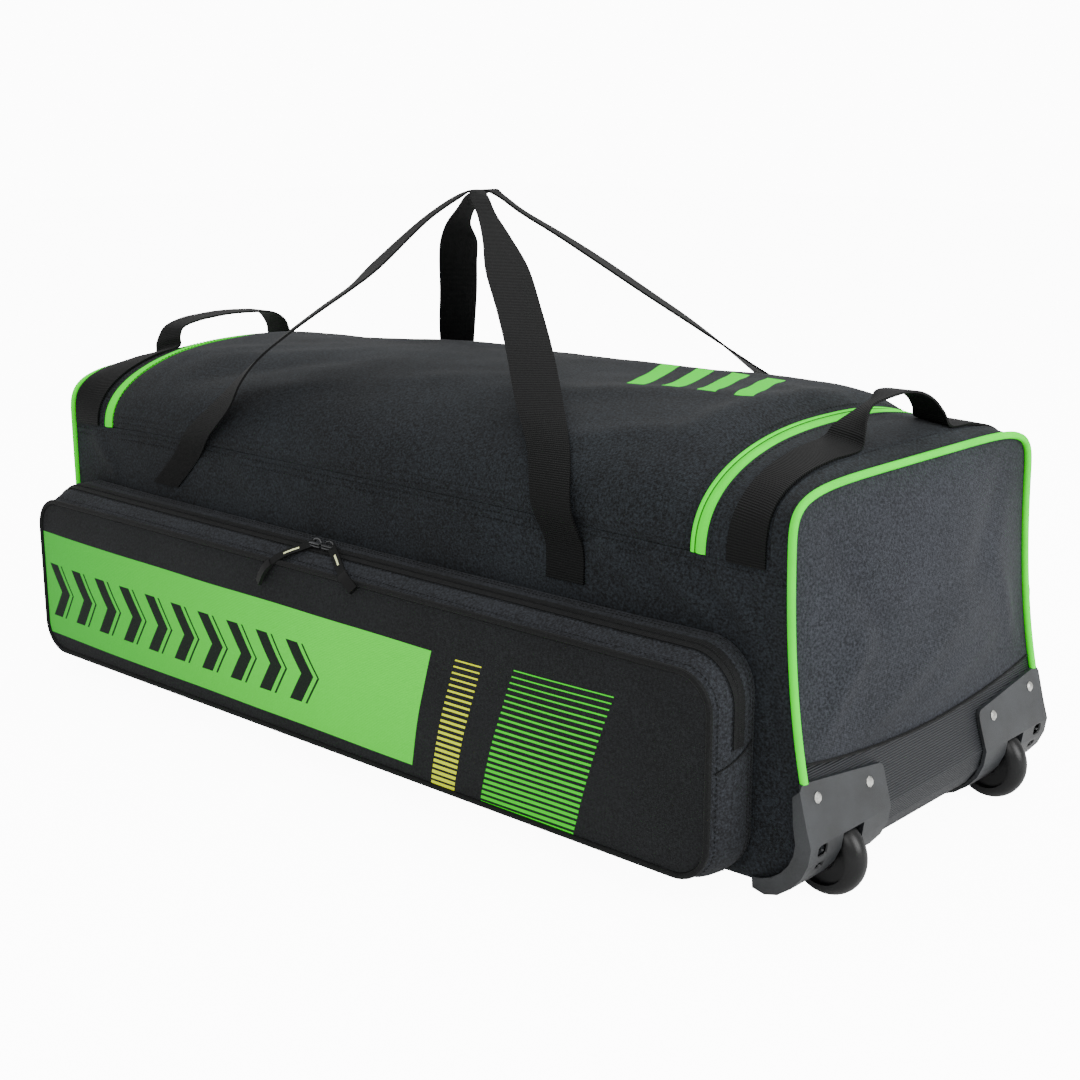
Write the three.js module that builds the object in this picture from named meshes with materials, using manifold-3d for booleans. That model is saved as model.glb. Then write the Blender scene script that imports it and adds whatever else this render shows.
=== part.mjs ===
// Wheeled cricket kit bag: a long soft duffel on two wheels, with a pocket on each long side.
// Millimetres. +X is the wheel end, -Y is the front with the printed pocket, +Z is up.
// Z = 0 is the floor that the wheels and the far edge of the base stand on.

import * as THREE from 'three';
import { mergeVertices } from 'three/addons/utils/BufferGeometryUtils.js';
import Module from 'manifold-3d';

const wasm = await Module();
wasm.setup();

// Body
const bodyLength = 940;
const bodyWidth = 374;
const seamHeight = 272;
const lidRise = 100;
const wheelEndLift = 12;
const clothThickness = 2;
const seamGap = 0.3;
const baseEdgeRadius = 18;
const farCurveRadius = 25;
const wheelCurveInset = 50;
const wheelCurveLength = 58;
const wheelCurveHeight = 50;
const wheelEndLean = 31;
const wheelEndLeanPower = 2.7;
const wheelEndBow = 26;
const farEndBow = 14;
const wallBulge = 3;

// Main zip and the strips beside it
const zipWidth = 14;
const wheelZipInset = 110;
const farZipInset = 58;
const pipingRadius = 3.2;

// Scuff band at the wheel end
const bandStart = -5;
const bandSideHeight = 120;
const bandMiddleHeight = 105;

// Webbing
const webbingThickness = 2;
const carryWebbingWidth = 40;
const carryGripWidth = 18;
const handleWebbingWidth = 38;
const handleGripWidth = 26;
const handleStandOff = 2.4;
const wheelHandleInset = 56;
const farHandleInset = 30;
const wheelHandleRise = 33;
const wheelHandleFront = 62;
const wheelHandleBack = 80;
const farHandleRise = 33;
const farHandleFront = 77;
const farHandleBack = 84;

// Carry straps
const strapPeakHeight = 517;
const strapEndHeight = 223;
const strapLeftPlace = -300;
const strapBackLeftPlace = -275;
const strapRightPlace = 238;
const strapPeakPlace = -34;
const strapPeakGap = 1;
const strapStandOff = 10;
const strapFoldStart = 0.78;
const strapFoldEnd = 0.93;

// Pockets
const pocketDepth = 43;
const backPocketShift = 20;
const pocketFaceLeft = -470;
const pocketFaceRight = 415;
const pocketFaceBottom = 26;
const pocketFaceTop = 190;
const pocketFaceRadius = 30;
const pocketFlareSide = 9;
const pocketFlareTop = 19;
const pocketFlareBottom = 7;
const pocketSeamRadius = 40;
const pocketPuff = 7;
const gussetPuff = 5;
const pocketPipingRadius = 2.6;
const pocketZipWidth = 10;
const pocketZipThickness = 1.2;
const pocketZipEndHeight = 124;
const pocketWallGap = 1.3;

// Zip sliders and pulls
const sliderLength = 14;
const sliderWidth = 9;
const sliderHeight = 4;
const sliderClearance = 2.1;
const pullWidth = 10;
const pullThickness = 2.4;
const pocketSliderPlace = -36;
const pocketSliderSpacing = 17;

// Wheels and their housings
const wheelRadius = 33;
const wheelWidth = 24;
const wheelTrack = 262;
const wheelInset = 10;
const wheelBoreRadius = 4.4;
const axleRadius = 4;
const axleHeadRadius = 6.5;
const axleHeadLength = 2;
const wheelClearance = 2.5;
const housingWall = 2.5;
const plateThickness = 3.2;
const plateGap = 0.6;
const plateInner = 77;
const plateTopOuter = 109;
const plateTopInner = 97;
const plateCornerRadius = 8;
const rimWidth = 14;
const rivetHeadRadius = 4.6;
const rivetHeadHeight = 1.8;
const rivetShankRadius = 2.2;
const rivetOuter = 170;
const rivetInner = 100;
const rivetDrop = 12;
const runningGap = 0.4;

const halfWidth = bodyWidth / 2;
const farEnd = -bodyLength / 2;
const wheelPlace = bodyLength / 2 - wheelInset;
const wheelZipPlace = bodyLength / 2 - wheelZipInset;
const farZipPlace = farEnd + farZipInset;
const wheelHandlePlace = bodyLength / 2 - wheelHandleInset;
const farHandlePlace = farEnd + farHandleInset;
const wheelCurveStart = bodyLength / 2 - wheelCurveInset;
const wheelEnd = wheelCurveStart + wheelCurveLength;
const wheelEndFloor = wheelEndLift + wheelCurveHeight;
const pocketFacePlane = -(halfWidth + pocketDepth);

// Cross sections from the far end to the wheel end. at is the place as a share of the body
// length, half a share of half the width, seam a share of the seam height, rise a share of
// the lid's rise over the seam height, and square says how boxy the lid is there.
const crossSections = [
  { at: -0.5, half: 0.96, seam: 0.975, rise: 0.5, square: 4.2 },
  { at: -0.47, half: 0.968, seam: 0.98, rise: 0.65, square: 2.7 },
  { at: -0.435, half: 0.978, seam: 0.985, rise: 0.74, square: 2.2 },
  { at: -0.38, half: 0.99, seam: 0.995, rise: 0.8, square: 2.2 },
  { at: -0.32, half: 0.995, seam: 1, rise: 0.8, square: 2.3 },
  { at: -0.085, half: 1, seam: 1, rise: 0.9, square: 2.4 },
  { at: 0.12, half: 1, seam: 1, rise: 0.91, square: 2.4 },
  { at: 0.32, half: 0.997, seam: 0.99, rise: 0.93, square: 2.4 },
  { at: 0.355, half: 0.994, seam: 0.987, rise: 0.9, square: 2.35 },
  { at: 0.383, half: 0.99, seam: 0.984, rise: 0.78, square: 2.35 },
  { at: 0.41, half: 0.987, seam: 0.98, rise: 0.72, square: 2.6 },
  { at: 0.45, half: 0.983, seam: 0.977, rise: 0.65, square: 3.4 },
  { at: 0.51, half: 0.975, seam: 0.974, rise: 0.53, square: 6 },
];

// Smooth value of one column of a table at any place, without overshooting the rows.
function columnAt(rows, column, at) {
  let k = 0;
  while (k < rows.length - 2 && at > rows[k + 1].at) k += 1;
  const slope = (i) => {
    if (i < 0 || i >= rows.length - 1) return 0;
    return (rows[i + 1][column] - rows[i][column]) / (rows[i + 1].at - rows[i].at);
  };
  const knot = (i) => {
    const before = slope(i - 1);
    const after = slope(i);
    return before * after <= 0 ? 0 : (2 * before * after) / (before + after);
  };
  const span = rows[k + 1].at - rows[k].at;
  const t = THREE.MathUtils.clamp((at - rows[k].at) / span, 0, 1);
  const h1 = 2 * t ** 3 - 3 * t ** 2 + 1;
  const h2 = t ** 3 - 2 * t ** 2 + t;
  const h3 = -2 * t ** 3 + 3 * t ** 2;
  const h4 = t ** 3 - t ** 2;
  return h1 * rows[k][column] + h2 * span * knot(k) + h3 * rows[k + 1][column] + h4 * span * knot(k + 1);
}

const baseHeightAt = (x) => {
  const flatStart = farEnd + farCurveRadius;
  return (wheelEndLift * (x - flatStart)) / (wheelCurveStart - flatStart);
};

// One cross section of the body: its sizes, and where its foot and its top are along X. Near the
// wheel end the top leans in, most of it low down.
function sectionAt(place) {
  const at = place / bodyLength;
  const seam = seamHeight * columnAt(crossSections, 'seam', at);
  const crown = seamHeight + lidRise * columnAt(crossSections, 'rise', at);
  const section = {
    half: halfWidth * columnAt(crossSections, 'half', at),
    seam,
    rise: crown - seam,
    crown,
    square: columnAt(crossSections, 'square', at),
    lowX: place,
    lowZ: baseHeightAt(place),
    highX: place,
  };
  const farCurveStart = farEnd + farCurveRadius;
  if (place > wheelCurveStart) {
    const turn = ((Math.PI / 2) * (place - wheelCurveStart)) / wheelCurveLength;
    section.lowX = wheelCurveStart + wheelCurveLength * Math.sin(turn);
    section.lowZ = wheelEndLift + wheelCurveHeight * (1 - Math.cos(turn));
    section.highX = wheelCurveStart + (wheelCurveLength - wheelEndLean) * Math.sin(turn);
  } else if (place < farCurveStart) {
    const turn = ((Math.PI / 2) * (farCurveStart - place)) / farCurveRadius;
    section.lowX = farCurveStart - farCurveRadius * Math.sin(turn);
    section.lowZ = farCurveRadius * (1 - Math.cos(turn));
    section.highX = section.lowX;
  }
  return section;
}

function pointInSection(section, y, z) {
  const share = THREE.MathUtils.clamp((z - section.lowZ) / (section.crown - section.lowZ), 0, 1);
  const lean = 1 - (1 - share) ** wheelEndLeanPower;
  return new THREE.Vector3(THREE.MathUtils.lerp(section.lowX, section.highX, lean), y, z);
}

// Points on the body. across runs from -1 at the front to 1 at the back.
function basePoint(place, across) {
  const section = sectionAt(place);
  return pointInSection(section, across * (section.half - baseEdgeRadius), section.lowZ);
}

// height runs from 0 under the bottom edge's curve to 1 at the lid seam, side is -1 or 1.
const edgeCurveShare = 0.12;
function wallPoint(place, height, side) {
  const section = sectionAt(place);
  const centreY = section.half - baseEdgeRadius;
  const centreZ = section.lowZ + baseEdgeRadius;
  if (height < edgeCurveShare) {
    const turn = ((Math.PI / 2) * height) / edgeCurveShare;
    const y = centreY + baseEdgeRadius * Math.sin(turn);
    return pointInSection(section, side * y, centreZ - baseEdgeRadius * Math.cos(turn));
  }
  const share = (height - edgeCurveShare) / (1 - edgeCurveShare);
  const bulge = wallBulge * Math.sin(Math.PI * share) * Math.sin(Math.PI * (place / bodyLength + 0.5));
  const y = section.half + bulge;
  return pointInSection(section, side * y, THREE.MathUtils.lerp(centreZ, section.seam, share));
}

// turn runs from 0 at the front seam over the crown to PI at the back seam.
function lidPoint(place, turn) {
  const section = sectionAt(place);
  const reach = (Math.abs(Math.cos(turn)) ** section.square + Math.abs(Math.sin(turn)) ** section.square)
    ** (-1 / section.square);
  const y = -section.half * Math.cos(turn) * reach;
  return pointInSection(section, y, section.seam + section.rise * Math.sin(turn) * reach);
}

// Outward direction of the lid's section at one of its points.
function lidOutward(place, turn) {
  const section = sectionAt(place);
  const on = lidPoint(place, turn);
  const power = section.square - 1;
  const up = Math.max(on.z - section.seam, 0) / section.rise;
  const y = (Math.abs(on.y / section.half) ** power / section.half) * Math.sign(on.y);
  return new THREE.Vector3(0, y, up ** power / section.rise).normalize();
}

// How far round the lid's section a point lies that is a given height above the seam.
const turnAtHeight = (place, height) => Math.asin(height / sectionAt(place).rise);

// Half the body's width at a height, on the flat or the bottom curve of a long side.
function halfWidthAt(x, z) {
  const section = sectionAt(x);
  const drop = section.lowZ + baseEdgeRadius - z;
  const share = THREE.MathUtils.clamp(-drop / (section.seam - section.lowZ - baseEdgeRadius), 0, 1);
  const bulge = wallBulge * Math.sin(Math.PI * share) * Math.sin(Math.PI * (x / bodyLength + 0.5));
  if (drop <= 0) return section.half + bulge;
  const inside = Math.max(baseEdgeRadius ** 2 - drop ** 2, 0);
  return section.half - baseEdgeRadius + Math.sqrt(inside);
}

// Meshes

function geometryFrom(positions, triangles) {
  const geometry = new THREE.BufferGeometry();
  geometry.setAttribute('position', new THREE.Float32BufferAttribute(positions, 3));
  const a = new THREE.Vector3();
  const b = new THREE.Vector3();
  const c = new THREE.Vector3();
  let volume = 0;
  for (let i = 0; i < triangles.length; i += 3) {
    a.fromArray(positions, 3 * triangles[i]);
    b.fromArray(positions, 3 * triangles[i + 1]);
    c.fromArray(positions, 3 * triangles[i + 2]);
    volume += a.dot(b.cross(c));
  }
  if (volume < 0) {
    for (let i = 0; i < triangles.length; i += 3) {
      [triangles[i + 1], triangles[i + 2]] = [triangles[i + 2], triangles[i + 1]];
    }
  }
  geometry.setIndex(triangles);
  geometry.computeVertexNormals();
  return geometry;
}

function grid(rows, columns, pointAt) {
  return Array.from({ length: rows + 1 }, (_, i) => (
    Array.from({ length: columns + 1 }, (__, j) => pointAt(i / rows, j / columns))
  ));
}

// Direction of a line of points at one of them. Past its ends the line bends on as it did before.
function slopeAlong(line, i) {
  const last = line.length - 1;
  const beyond = (a, b, c) => (c
    ? a.clone().multiplyScalar(3).addScaledVector(b, -3).add(c)
    : a.clone().multiplyScalar(2).sub(b));
  const ahead = i < last ? line[i + 1] : beyond(line[last], line[last - 1], line[last - 2]);
  const behind = i > 0 ? line[i - 1] : beyond(line[0], line[1], line[2]);
  return new THREE.Vector3().subVectors(ahead, behind);
}

// Unit normals of a grid of points, all on the side away from the inside point.
function normalsOf(points, closed, inside) {
  const rows = points.length;
  let facing = 0;
  const normals = points.map((line, i) => line.map((point, j) => {
    const file = points.map((other) => other[j]);
    const down = closed
      ? new THREE.Vector3().subVectors(file[(i + 1) % rows], file[(i - 1 + rows) % rows])
      : slopeAlong(file, i);
    const across = slopeAlong(line, j);
    const normal = down.cross(across).normalize();
    facing += Math.sign(normal.dot(new THREE.Vector3().subVectors(point, inside)));
    return normal;
  }));
  if (facing < 0) normals.forEach((line) => line.forEach((normal) => normal.negate()));
  return normals;
}

// A wall between two offsets from a grid of points, closed round its rim.
function clothFromGrid(points, inner, outer, { closed = false, inside = bodyMiddle } = {}) {
  const rows = points.length;
  const columns = points[0].length;
  const normals = normalsOf(points, closed, inside);
  const positions = [];
  [inner, outer].forEach((offset) => {
    points.forEach((line, i) => line.forEach((point, j) => {
      positions.push(...point.clone().addScaledVector(normals[i][j], offset).toArray());
    }));
  });
  const at = (side, i, j) => side * rows * columns + (i % rows) * columns + j;
  const triangles = [];
  const quad = (a, b, c, d) => triangles.push(a, b, c, a, c, d);
  const lastRow = closed ? rows : rows - 1;
  for (let i = 0; i < lastRow; i += 1) {
    for (let j = 0; j < columns - 1; j += 1) {
      quad(at(0, i, j), at(0, i, j + 1), at(0, i + 1, j + 1), at(0, i + 1, j));
      quad(at(1, i, j), at(1, i + 1, j), at(1, i + 1, j + 1), at(1, i, j + 1));
    }
    quad(at(0, i, 0), at(0, i + 1, 0), at(1, i + 1, 0), at(1, i, 0));
    quad(at(0, i, columns - 1), at(1, i, columns - 1), at(1, i + 1, columns - 1), at(0, i + 1, columns - 1));
  }
  if (!closed) {
    for (let j = 0; j < columns - 1; j += 1) {
      quad(at(0, 0, j), at(1, 0, j), at(1, 0, j + 1), at(0, 0, j + 1));
      quad(at(0, rows - 1, j), at(0, rows - 1, j + 1), at(1, rows - 1, j + 1), at(1, rows - 1, j));
    }
  }
  return geometryFrom(positions, triangles);
}

const bodyMiddle = new THREE.Vector3(0, 0, seamHeight / 2);

// A round cord along a list of points, open with flat ends, or closed on itself.
function roundCord(points, radius, sides, closed = false) {
  const count = points.length;
  const tangentAt = (i) => {
    const ahead = closed ? points[(i + 1) % count] : points[Math.min(i + 1, count - 1)];
    const behind = closed ? points[(i - 1 + count) % count] : points[Math.max(i - 1, 0)];
    return new THREE.Vector3().subVectors(ahead, behind).normalize();
  };
  const positions = [];
  let side = new THREE.Vector3(1, 0, 0);
  if (Math.abs(tangentAt(0).x) > 0.9) side.set(0, 0, 1);
  for (let i = 0; i < count; i += 1) {
    const tangent = tangentAt(i);
    side = side.clone().addScaledVector(tangent, -side.dot(tangent)).normalize();
    const other = new THREE.Vector3().crossVectors(tangent, side);
    for (let k = 0; k < sides; k += 1) {
      const turn = (2 * Math.PI * k) / sides;
      const point = points[i].clone()
        .addScaledVector(side, radius * Math.cos(turn))
        .addScaledVector(other, radius * Math.sin(turn));
      positions.push(...point.toArray());
    }
  }
  const triangles = [];
  const at = (i, k) => (i % count) * sides + (k % sides);
  const last = closed ? count : count - 1;
  for (let i = 0; i < last; i += 1) {
    for (let k = 0; k < sides; k += 1) {
      triangles.push(at(i, k), at(i, k + 1), at(i + 1, k + 1), at(i, k), at(i + 1, k + 1), at(i + 1, k));
    }
  }
  if (!closed) {
    for (let k = 1; k < sides - 1; k += 1) {
      triangles.push(at(0, 0), at(0, k + 1), at(0, k));
      triangles.push(at(count - 1, 0), at(count - 1, k), at(count - 1, k + 1));
    }
  }
  return geometryFrom(positions, triangles);
}

// Booleans
function solidOf(geometry) {
  const bare = geometry.clone();
  bare.deleteAttribute('normal');
  bare.deleteAttribute('uv');
  const merged = mergeVertices(bare, 1e-4);
  return new wasm.Manifold(new wasm.Mesh({
    numProp: 3,
    vertProperties: new Float32Array(merged.attributes.position.array),
    triVerts: new Uint32Array(merged.index.array),
  }));
}

function geometryOf(solid) {
  const mesh = solid.getMesh();
  return geometryFrom(Array.from(mesh.vertProperties), Array.from(mesh.triVerts));
}

// A prism of an XZ outline between two places along Y.
function prismAlongY(outline, fromY, toY) {
  const shape = new THREE.Shape(outline.map(([x, z]) => new THREE.Vector2(x, z)));
  const geometry = new THREE.ExtrudeGeometry(shape, { depth: toY - fromY, bevelEnabled: false });
  geometry.rotateX(Math.PI / 2);
  geometry.translate(0, toY, 0);
  return geometry;
}

// A prism of a YZ outline between two places along X.
function prismAlongX(shape, fromX, toX) {
  const geometry = new THREE.ExtrudeGeometry(shape, {
    depth: toX - fromX,
    bevelEnabled: false,
    curveSegments: 4,
  });
  geometry.applyMatrix4(new THREE.Matrix4().makeBasis(
    new THREE.Vector3(0, 1, 0),
    new THREE.Vector3(0, 0, 1),
    new THREE.Vector3(1, 0, 0),
  ));
  geometry.translate(fromX, 0, 0);
  return geometry;
}

function rodAlongY(radius, fromY, toY, x, z, sides) {
  const geometry = new THREE.CylinderGeometry(radius, radius, toY - fromY, sides);
  geometry.translate(x, (fromY + toY) / 2, z);
  return geometry;
}

// Materials
function finish(color, roughness, metalness = 0) {
  return new THREE.MeshStandardMaterial({ color, roughness, metalness });
}
const blackCloth = finish('#26282a', 0.9);
const blackWebbing = finish('#1b1c1c', 0.85);
const blackTrim = finish('#202123', 0.8);
const neonCloth = finish('#7bea4a', 0.75);
const scuffCloth = finish('#3a3c40', 0.7);
const housingPlastic = finish('#3f4144', 0.55);
const wheelPlastic = finish('#2a2b2e', 0.5);
const steel = finish('#c4c4c0', 0.3, 1);
const sliderMetal = finish('#2c2c2c', 0.4, 0.8);

const bag = new THREE.Group();
bag.name = 'cricket_kit_bag';

function add(name, geometry, material) {
  const mesh = new THREE.Mesh(geometry, material);
  mesh.name = name;
  bag.add(mesh);
  return mesh;
}

const lerp = THREE.MathUtils.lerp;

// The long sides, the base and the lid

// Places between two ends, closer together where the body curves at its ends.
function placesBetween(from, to, wanted) {
  const places = new Set([from, to]);
  wanted.filter((place) => place > from + 4 && place < to - 4).forEach((place) => places.add(place));
  return [...places].sort((a, b) => a - b);
}

const bodyPlaces = [
  ...crossSections.map((row) => row.at * bodyLength),
  ...[0.35, 0.7].map((share) => farEnd + farCurveRadius * (1 - share)),
  farEnd + farCurveRadius,
  0.22 * bodyLength,
  wheelCurveStart,
  ...[0.25, 0.5, 0.75].map((share) => lerp(wheelCurveStart, wheelEnd, share)),
];

const evenShares = (steps) => Array.from({ length: steps + 1 }, (_, j) => j / steps);

function clothAlong(from, to, shares, pointAt) {
  const places = placesBetween(from, to, bodyPlaces);
  const points = places.map((place) => shares.map((share) => pointAt(place, share)));
  return clothFromGrid(points, -clothThickness, 0);
}

const wallShares = [
  ...evenShares(3).map((share) => share * edgeCurveShare),
  ...evenShares(4).slice(1).map((share) => lerp(edgeCurveShare, 1, share)),
];

function addWall(name, side) {
  const geometry = clothAlong(farEnd, wheelEnd, wallShares, (place, share) => wallPoint(place, share, side));
  add(name, geometry, blackCloth);
}

const bandPlace = wheelCurveStart + bandStart;

function addBase() {
  const geometry = clothAlong(farEnd, bandPlace, evenShares(2), (place, share) => {
    const section = sectionAt(place);
    const trim = 1 - seamGap / (section.half - baseEdgeRadius);
    return basePoint(place, trim * (2 * share - 1));
  });
  add('base_panel', geometry, blackCloth);
}

// A strip of the top between two places, from a height above the front seam to one above the back.
const topSteps = 12;

function addTop(name, from, to, backHeight, material) {
  const geometry = clothAlong(from, to, evenShares(topSteps), (place, share) => {
    const start = turnAtHeight(place, seamGap);
    const end = Math.PI - turnAtHeight(place, backHeight);
    return lidPoint(place, lerp(start, end, share));
  });
  add(name, geometry, material);
}

function addTops() {
  const lidStart = farZipPlace + zipWidth + seamGap;
  const lidEnd = wheelZipPlace - seamGap;
  addTop('lid', lidStart, lidEnd, zipWidth + 2 * seamGap, blackCloth);
  addTop('main_zip_wheel_end', wheelZipPlace, wheelZipPlace + zipWidth, seamGap, neonCloth);
  addTop('main_zip_far_end', farZipPlace, farZipPlace + zipWidth, seamGap, neonCloth);
  addTop('wheel_end_gusset', wheelZipPlace + zipWidth + seamGap, wheelEnd, seamGap, blackCloth);
  addTop('far_end_gusset', farEnd, farZipPlace - seamGap, seamGap, blackCloth);
  const backZip = clothAlong(lidStart, lidEnd, evenShares(2), (place, share) => {
    const height = lerp(seamGap, zipWidth + seamGap, share);
    return lidPoint(place, Math.PI - turnAtHeight(place, height));
  });
  add('main_zip_back', backZip, neonCloth);
}

// The end panels

// Outline of the body's end, set in by the wall and its gap, as a function of height up one side
// and of the way over the top. The bow pushes the middle of the panel outwards.
const panelInset = clothThickness + 2 * seamGap;

function endPanelX(section, y, z, bow, bowStart, direction) {
  const flat = pointInSection(section, y, z).x;
  const up = THREE.MathUtils.clamp((z - bowStart) / (section.crown - bowStart), 0, 1);
  const across = THREE.MathUtils.clamp(y / section.half, -1, 1);
  return flat + direction * bow * (1 - across ** 2) * Math.sin(Math.PI * up);
}

function endSidePoint(section, z, side) {
  const drop = Math.max(section.lowZ + baseEdgeRadius - z, 0);
  const radius = baseEdgeRadius - panelInset;
  const y = section.half - baseEdgeRadius + Math.sqrt(Math.max(radius ** 2 - drop ** 2, 0));
  return new THREE.Vector2(side * y, z);
}

function endTopPoint(section, turn) {
  const inner = { ...section, half: section.half - panelInset, rise: section.rise - panelInset };
  const reach = (Math.abs(Math.cos(turn)) ** inner.square + Math.abs(Math.sin(turn)) ** inner.square)
    ** (-1 / inner.square);
  const y = -inner.half * Math.cos(turn) * reach;
  return new THREE.Vector2(y, inner.seam + inner.rise * Math.sin(turn) * reach);
}

const endCornerTurn = Math.PI / 4;

// The side edge of an end panel, from its foot up to the middle of the top corner.
function endEdgePoint(section, foot, share, side) {
  const split = 0.75;
  if (share < split) return endSidePoint(section, lerp(foot, section.seam, share / split), side);
  const turn = (endCornerTurn * (share - split)) / (1 - split);
  return endTopPoint(section, side < 0 ? turn : Math.PI - turn);
}

// Flat blend of four edges, which gives the panel's inner points.
function blendEdges(bottom, top, left, right, u, v) {
  const point = new THREE.Vector2();
  point.addScaledVector(bottom(u), 1 - v).addScaledVector(top(u), v);
  point.addScaledVector(left(v), 1 - u).addScaledVector(right(v), u);
  point.addScaledVector(bottom(0), -(1 - u) * (1 - v)).addScaledVector(bottom(1), -u * (1 - v));
  point.addScaledVector(top(0), -(1 - u) * v).addScaledVector(top(1), -u * v);
  return point;
}

function addEndPanel(name, place, footAt, bow, bowStart, direction) {
  const section = sectionAt(place);
  const sideFoot = footAt(1);
  const left = (v) => endEdgePoint(section, sideFoot, v, -1);
  const right = (v) => endEdgePoint(section, sideFoot, v, 1);
  const bottom = (u) => {
    const across = 2 * u - 1;
    const y = across * endSidePoint(section, sideFoot, 1).x;
    return new THREE.Vector2(y, footAt(across));
  };
  const top = (u) => endTopPoint(section, lerp(endCornerTurn, Math.PI - endCornerTurn, u));
  const points = grid(9, 9, (u, v) => {
    const flat = blendEdges(bottom, top, left, right, u, v);
    const x = endPanelX(section, flat.x, flat.y, bow, bowStart, direction);
    return new THREE.Vector3(x, flat.x, flat.y);
  });
  add(name, clothFromGrid(points, -clothThickness, 0), blackCloth);
}

const bandHeightAt = (across) => lerp(bandMiddleHeight, bandSideHeight, across ** 2);

const bandSteps = 8;

// The scuff band: up from under the base, round the wheel end's lower curve and up to the panel.
function scuffBand() {
  const end = sectionAt(wheelEnd);
  const curvePlaces = [0, 0.2, 0.4, 0.6, 0.8].map((share) => lerp(bandPlace + seamGap, wheelEnd, share));
  const points = curvePlaces.map((place) => {
    const section = sectionAt(place);
    const trim = 1 - seamGap / (section.half - baseEdgeRadius);
    return evenShares(bandSteps).map((share) => basePoint(place, trim * (2 * share - 1)));
  });
  [0, 0.15, 0.4, 0.7, 1].forEach((share) => {
    points.push(evenShares(bandSteps).map((column) => {
      const across = 2 * column - 1;
      const z = lerp(end.lowZ, bandHeightAt(across) - seamGap, share);
      const edge = endSidePoint(end, lerp(end.lowZ + seamGap * 2, bandSideHeight, share), 1).x;
      const y = across * (edge - 2 * seamGap);
      const x = endPanelX(end, y, z, wheelEndBow, bandSideHeight - 10, 1);
      return new THREE.Vector3(x, y, z);
    }));
  });
  return clothFromGrid(points, -clothThickness, 0);
}

// Piping along the edge of an end, from a foot height on one side over the top to the other.
function addEndPiping(name, place, foot, direction) {
  const section = sectionAt(place);
  const stand = pipingRadius + seamGap + 0.2;
  const outward = 0.6 * clothThickness;
  const points = [];
  const push = (y, z, normalY, normalZ) => {
    const point = pointInSection(section, y, z);
    point.y += normalY * (outward - clothThickness / 2);
    point.z += normalZ * (outward - clothThickness / 2);
    point.x += direction * stand;
    points.push(point);
  };
  const sideSteps = 4;
  for (let i = 0; i < sideSteps; i += 1) push(-section.half, lerp(foot, section.seam, i / sideSteps), -1, 0);
  for (let i = 0; i <= topSteps; i += 1) {
    const turn = (Math.PI * i) / topSteps;
    const on = lidPoint(place, turn);
    const outward = lidOutward(place, turn);
    push(on.y, on.z, outward.y, outward.z);
  }
  for (let i = sideSteps - 1; i >= 0; i -= 1) {
    push(section.half, lerp(foot, section.seam, i / sideSteps), 1, 0);
  }
  add(name, roundCord(points, pipingRadius, 6), neonCloth);
}

// Carry straps and grab handles

// A flat webbing strip given by its two edges, as rows of two points and a middle one.
function webbing(rows, inside) {
  const points = rows.map(({ centre, across, width }) => [-0.5, 0, 0.5].map((share) => (
    centre.clone().addScaledVector(across, share * width)
  )));
  return clothFromGrid(points, -webbingThickness / 2, webbingThickness / 2, { inside });
}

// Routes of a carry strap's legs from the peak to the sewn end. x is a share of the way along the
// bag, out a share of the way from the peak's side to the wall, up a share of the height from the
// end to the peak, and free says how far the webbing has turned from lying on the wall to
// standing square to its own run.
const tautLeg = [
  { x: 0.04, out: 0.03, up: 0.98, free: 1 },
  { x: 0.11, out: 0.085, up: 0.93, free: 1 },
  { x: 0.22, out: 0.185, up: 0.862, free: 1 },
  { x: 0.34, out: 0.305, up: 0.78, free: 1 },
  { x: 0.48, out: 0.45, up: 0.678, free: 1 },
  { x: 0.615, out: 0.6, up: 0.577, free: 0.95 },
  { x: 0.755, out: 0.77, up: 0.46, free: 0.7 },
  { x: 0.885, out: 0.91, up: 0.345, free: 0.25 },
  { x: 0.965, out: 0.985, up: 0.21, free: 0.05 },
  { x: 0.995, out: 1, up: 0.1, free: 0 },
  { x: 1, out: 1, up: 0, free: 0 },
];
const slackLeg = [
  { x: 0.04, out: 0.05, up: 0.985, free: 1 },
  { x: 0.105, out: 0.22, up: 0.91, free: 1 },
  { x: 0.19, out: 0.455, up: 0.772, free: 1 },
  { x: 0.255, out: 0.565, up: 0.697, free: 1 },
  { x: 0.33, out: 0.68, up: 0.63, free: 1 },
  { x: 0.415, out: 0.81, up: 0.55, free: 0.95 },
  { x: 0.49, out: 0.89, up: 0.48, free: 0.8 },
  { x: 0.57, out: 0.945, up: 0.4, free: 0.55 },
  { x: 0.65, out: 0.985, up: 0.31, free: 0.25 },
  { x: 0.75, out: 1, up: 0.21, free: 0.05 },
  { x: 0.87, out: 1, up: 0.11, free: 0 },
  { x: 1, out: 1, up: 0, free: 0 },
];
const bowedLeg = [
  { x: 0.1, out: 0.03, up: 0.98, free: 1 },
  { x: 0.22, out: 0.12, up: 0.93, free: 1 },
  { x: 0.344, out: 0.23, up: 0.872, free: 1 },
  { x: 0.428, out: 0.346, up: 0.805, free: 1 },
  { x: 0.52, out: 0.464, up: 0.731, free: 1 },
  { x: 0.628, out: 0.611, up: 0.612, free: 0.95 },
  { x: 0.745, out: 0.758, up: 0.486, free: 0.8 },
  { x: 0.83, out: 0.87, up: 0.381, free: 0.5 },
  { x: 0.91, out: 0.95, up: 0.28, free: 0.25 },
  { x: 0.965, out: 1, up: 0.17, free: 0.05 },
  { x: 1, out: 1, up: 0, free: 0 },
];

// Half the body's width at a height above the lid seam, where the lid curves in.
function lidHalfWidthAt(x, z) {
  const section = sectionAt(x);
  const up = THREE.MathUtils.clamp((z - section.seam) / section.rise, 0, 1);
  return section.half * (1 - up ** section.square) ** (1 / section.square);
}

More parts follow.
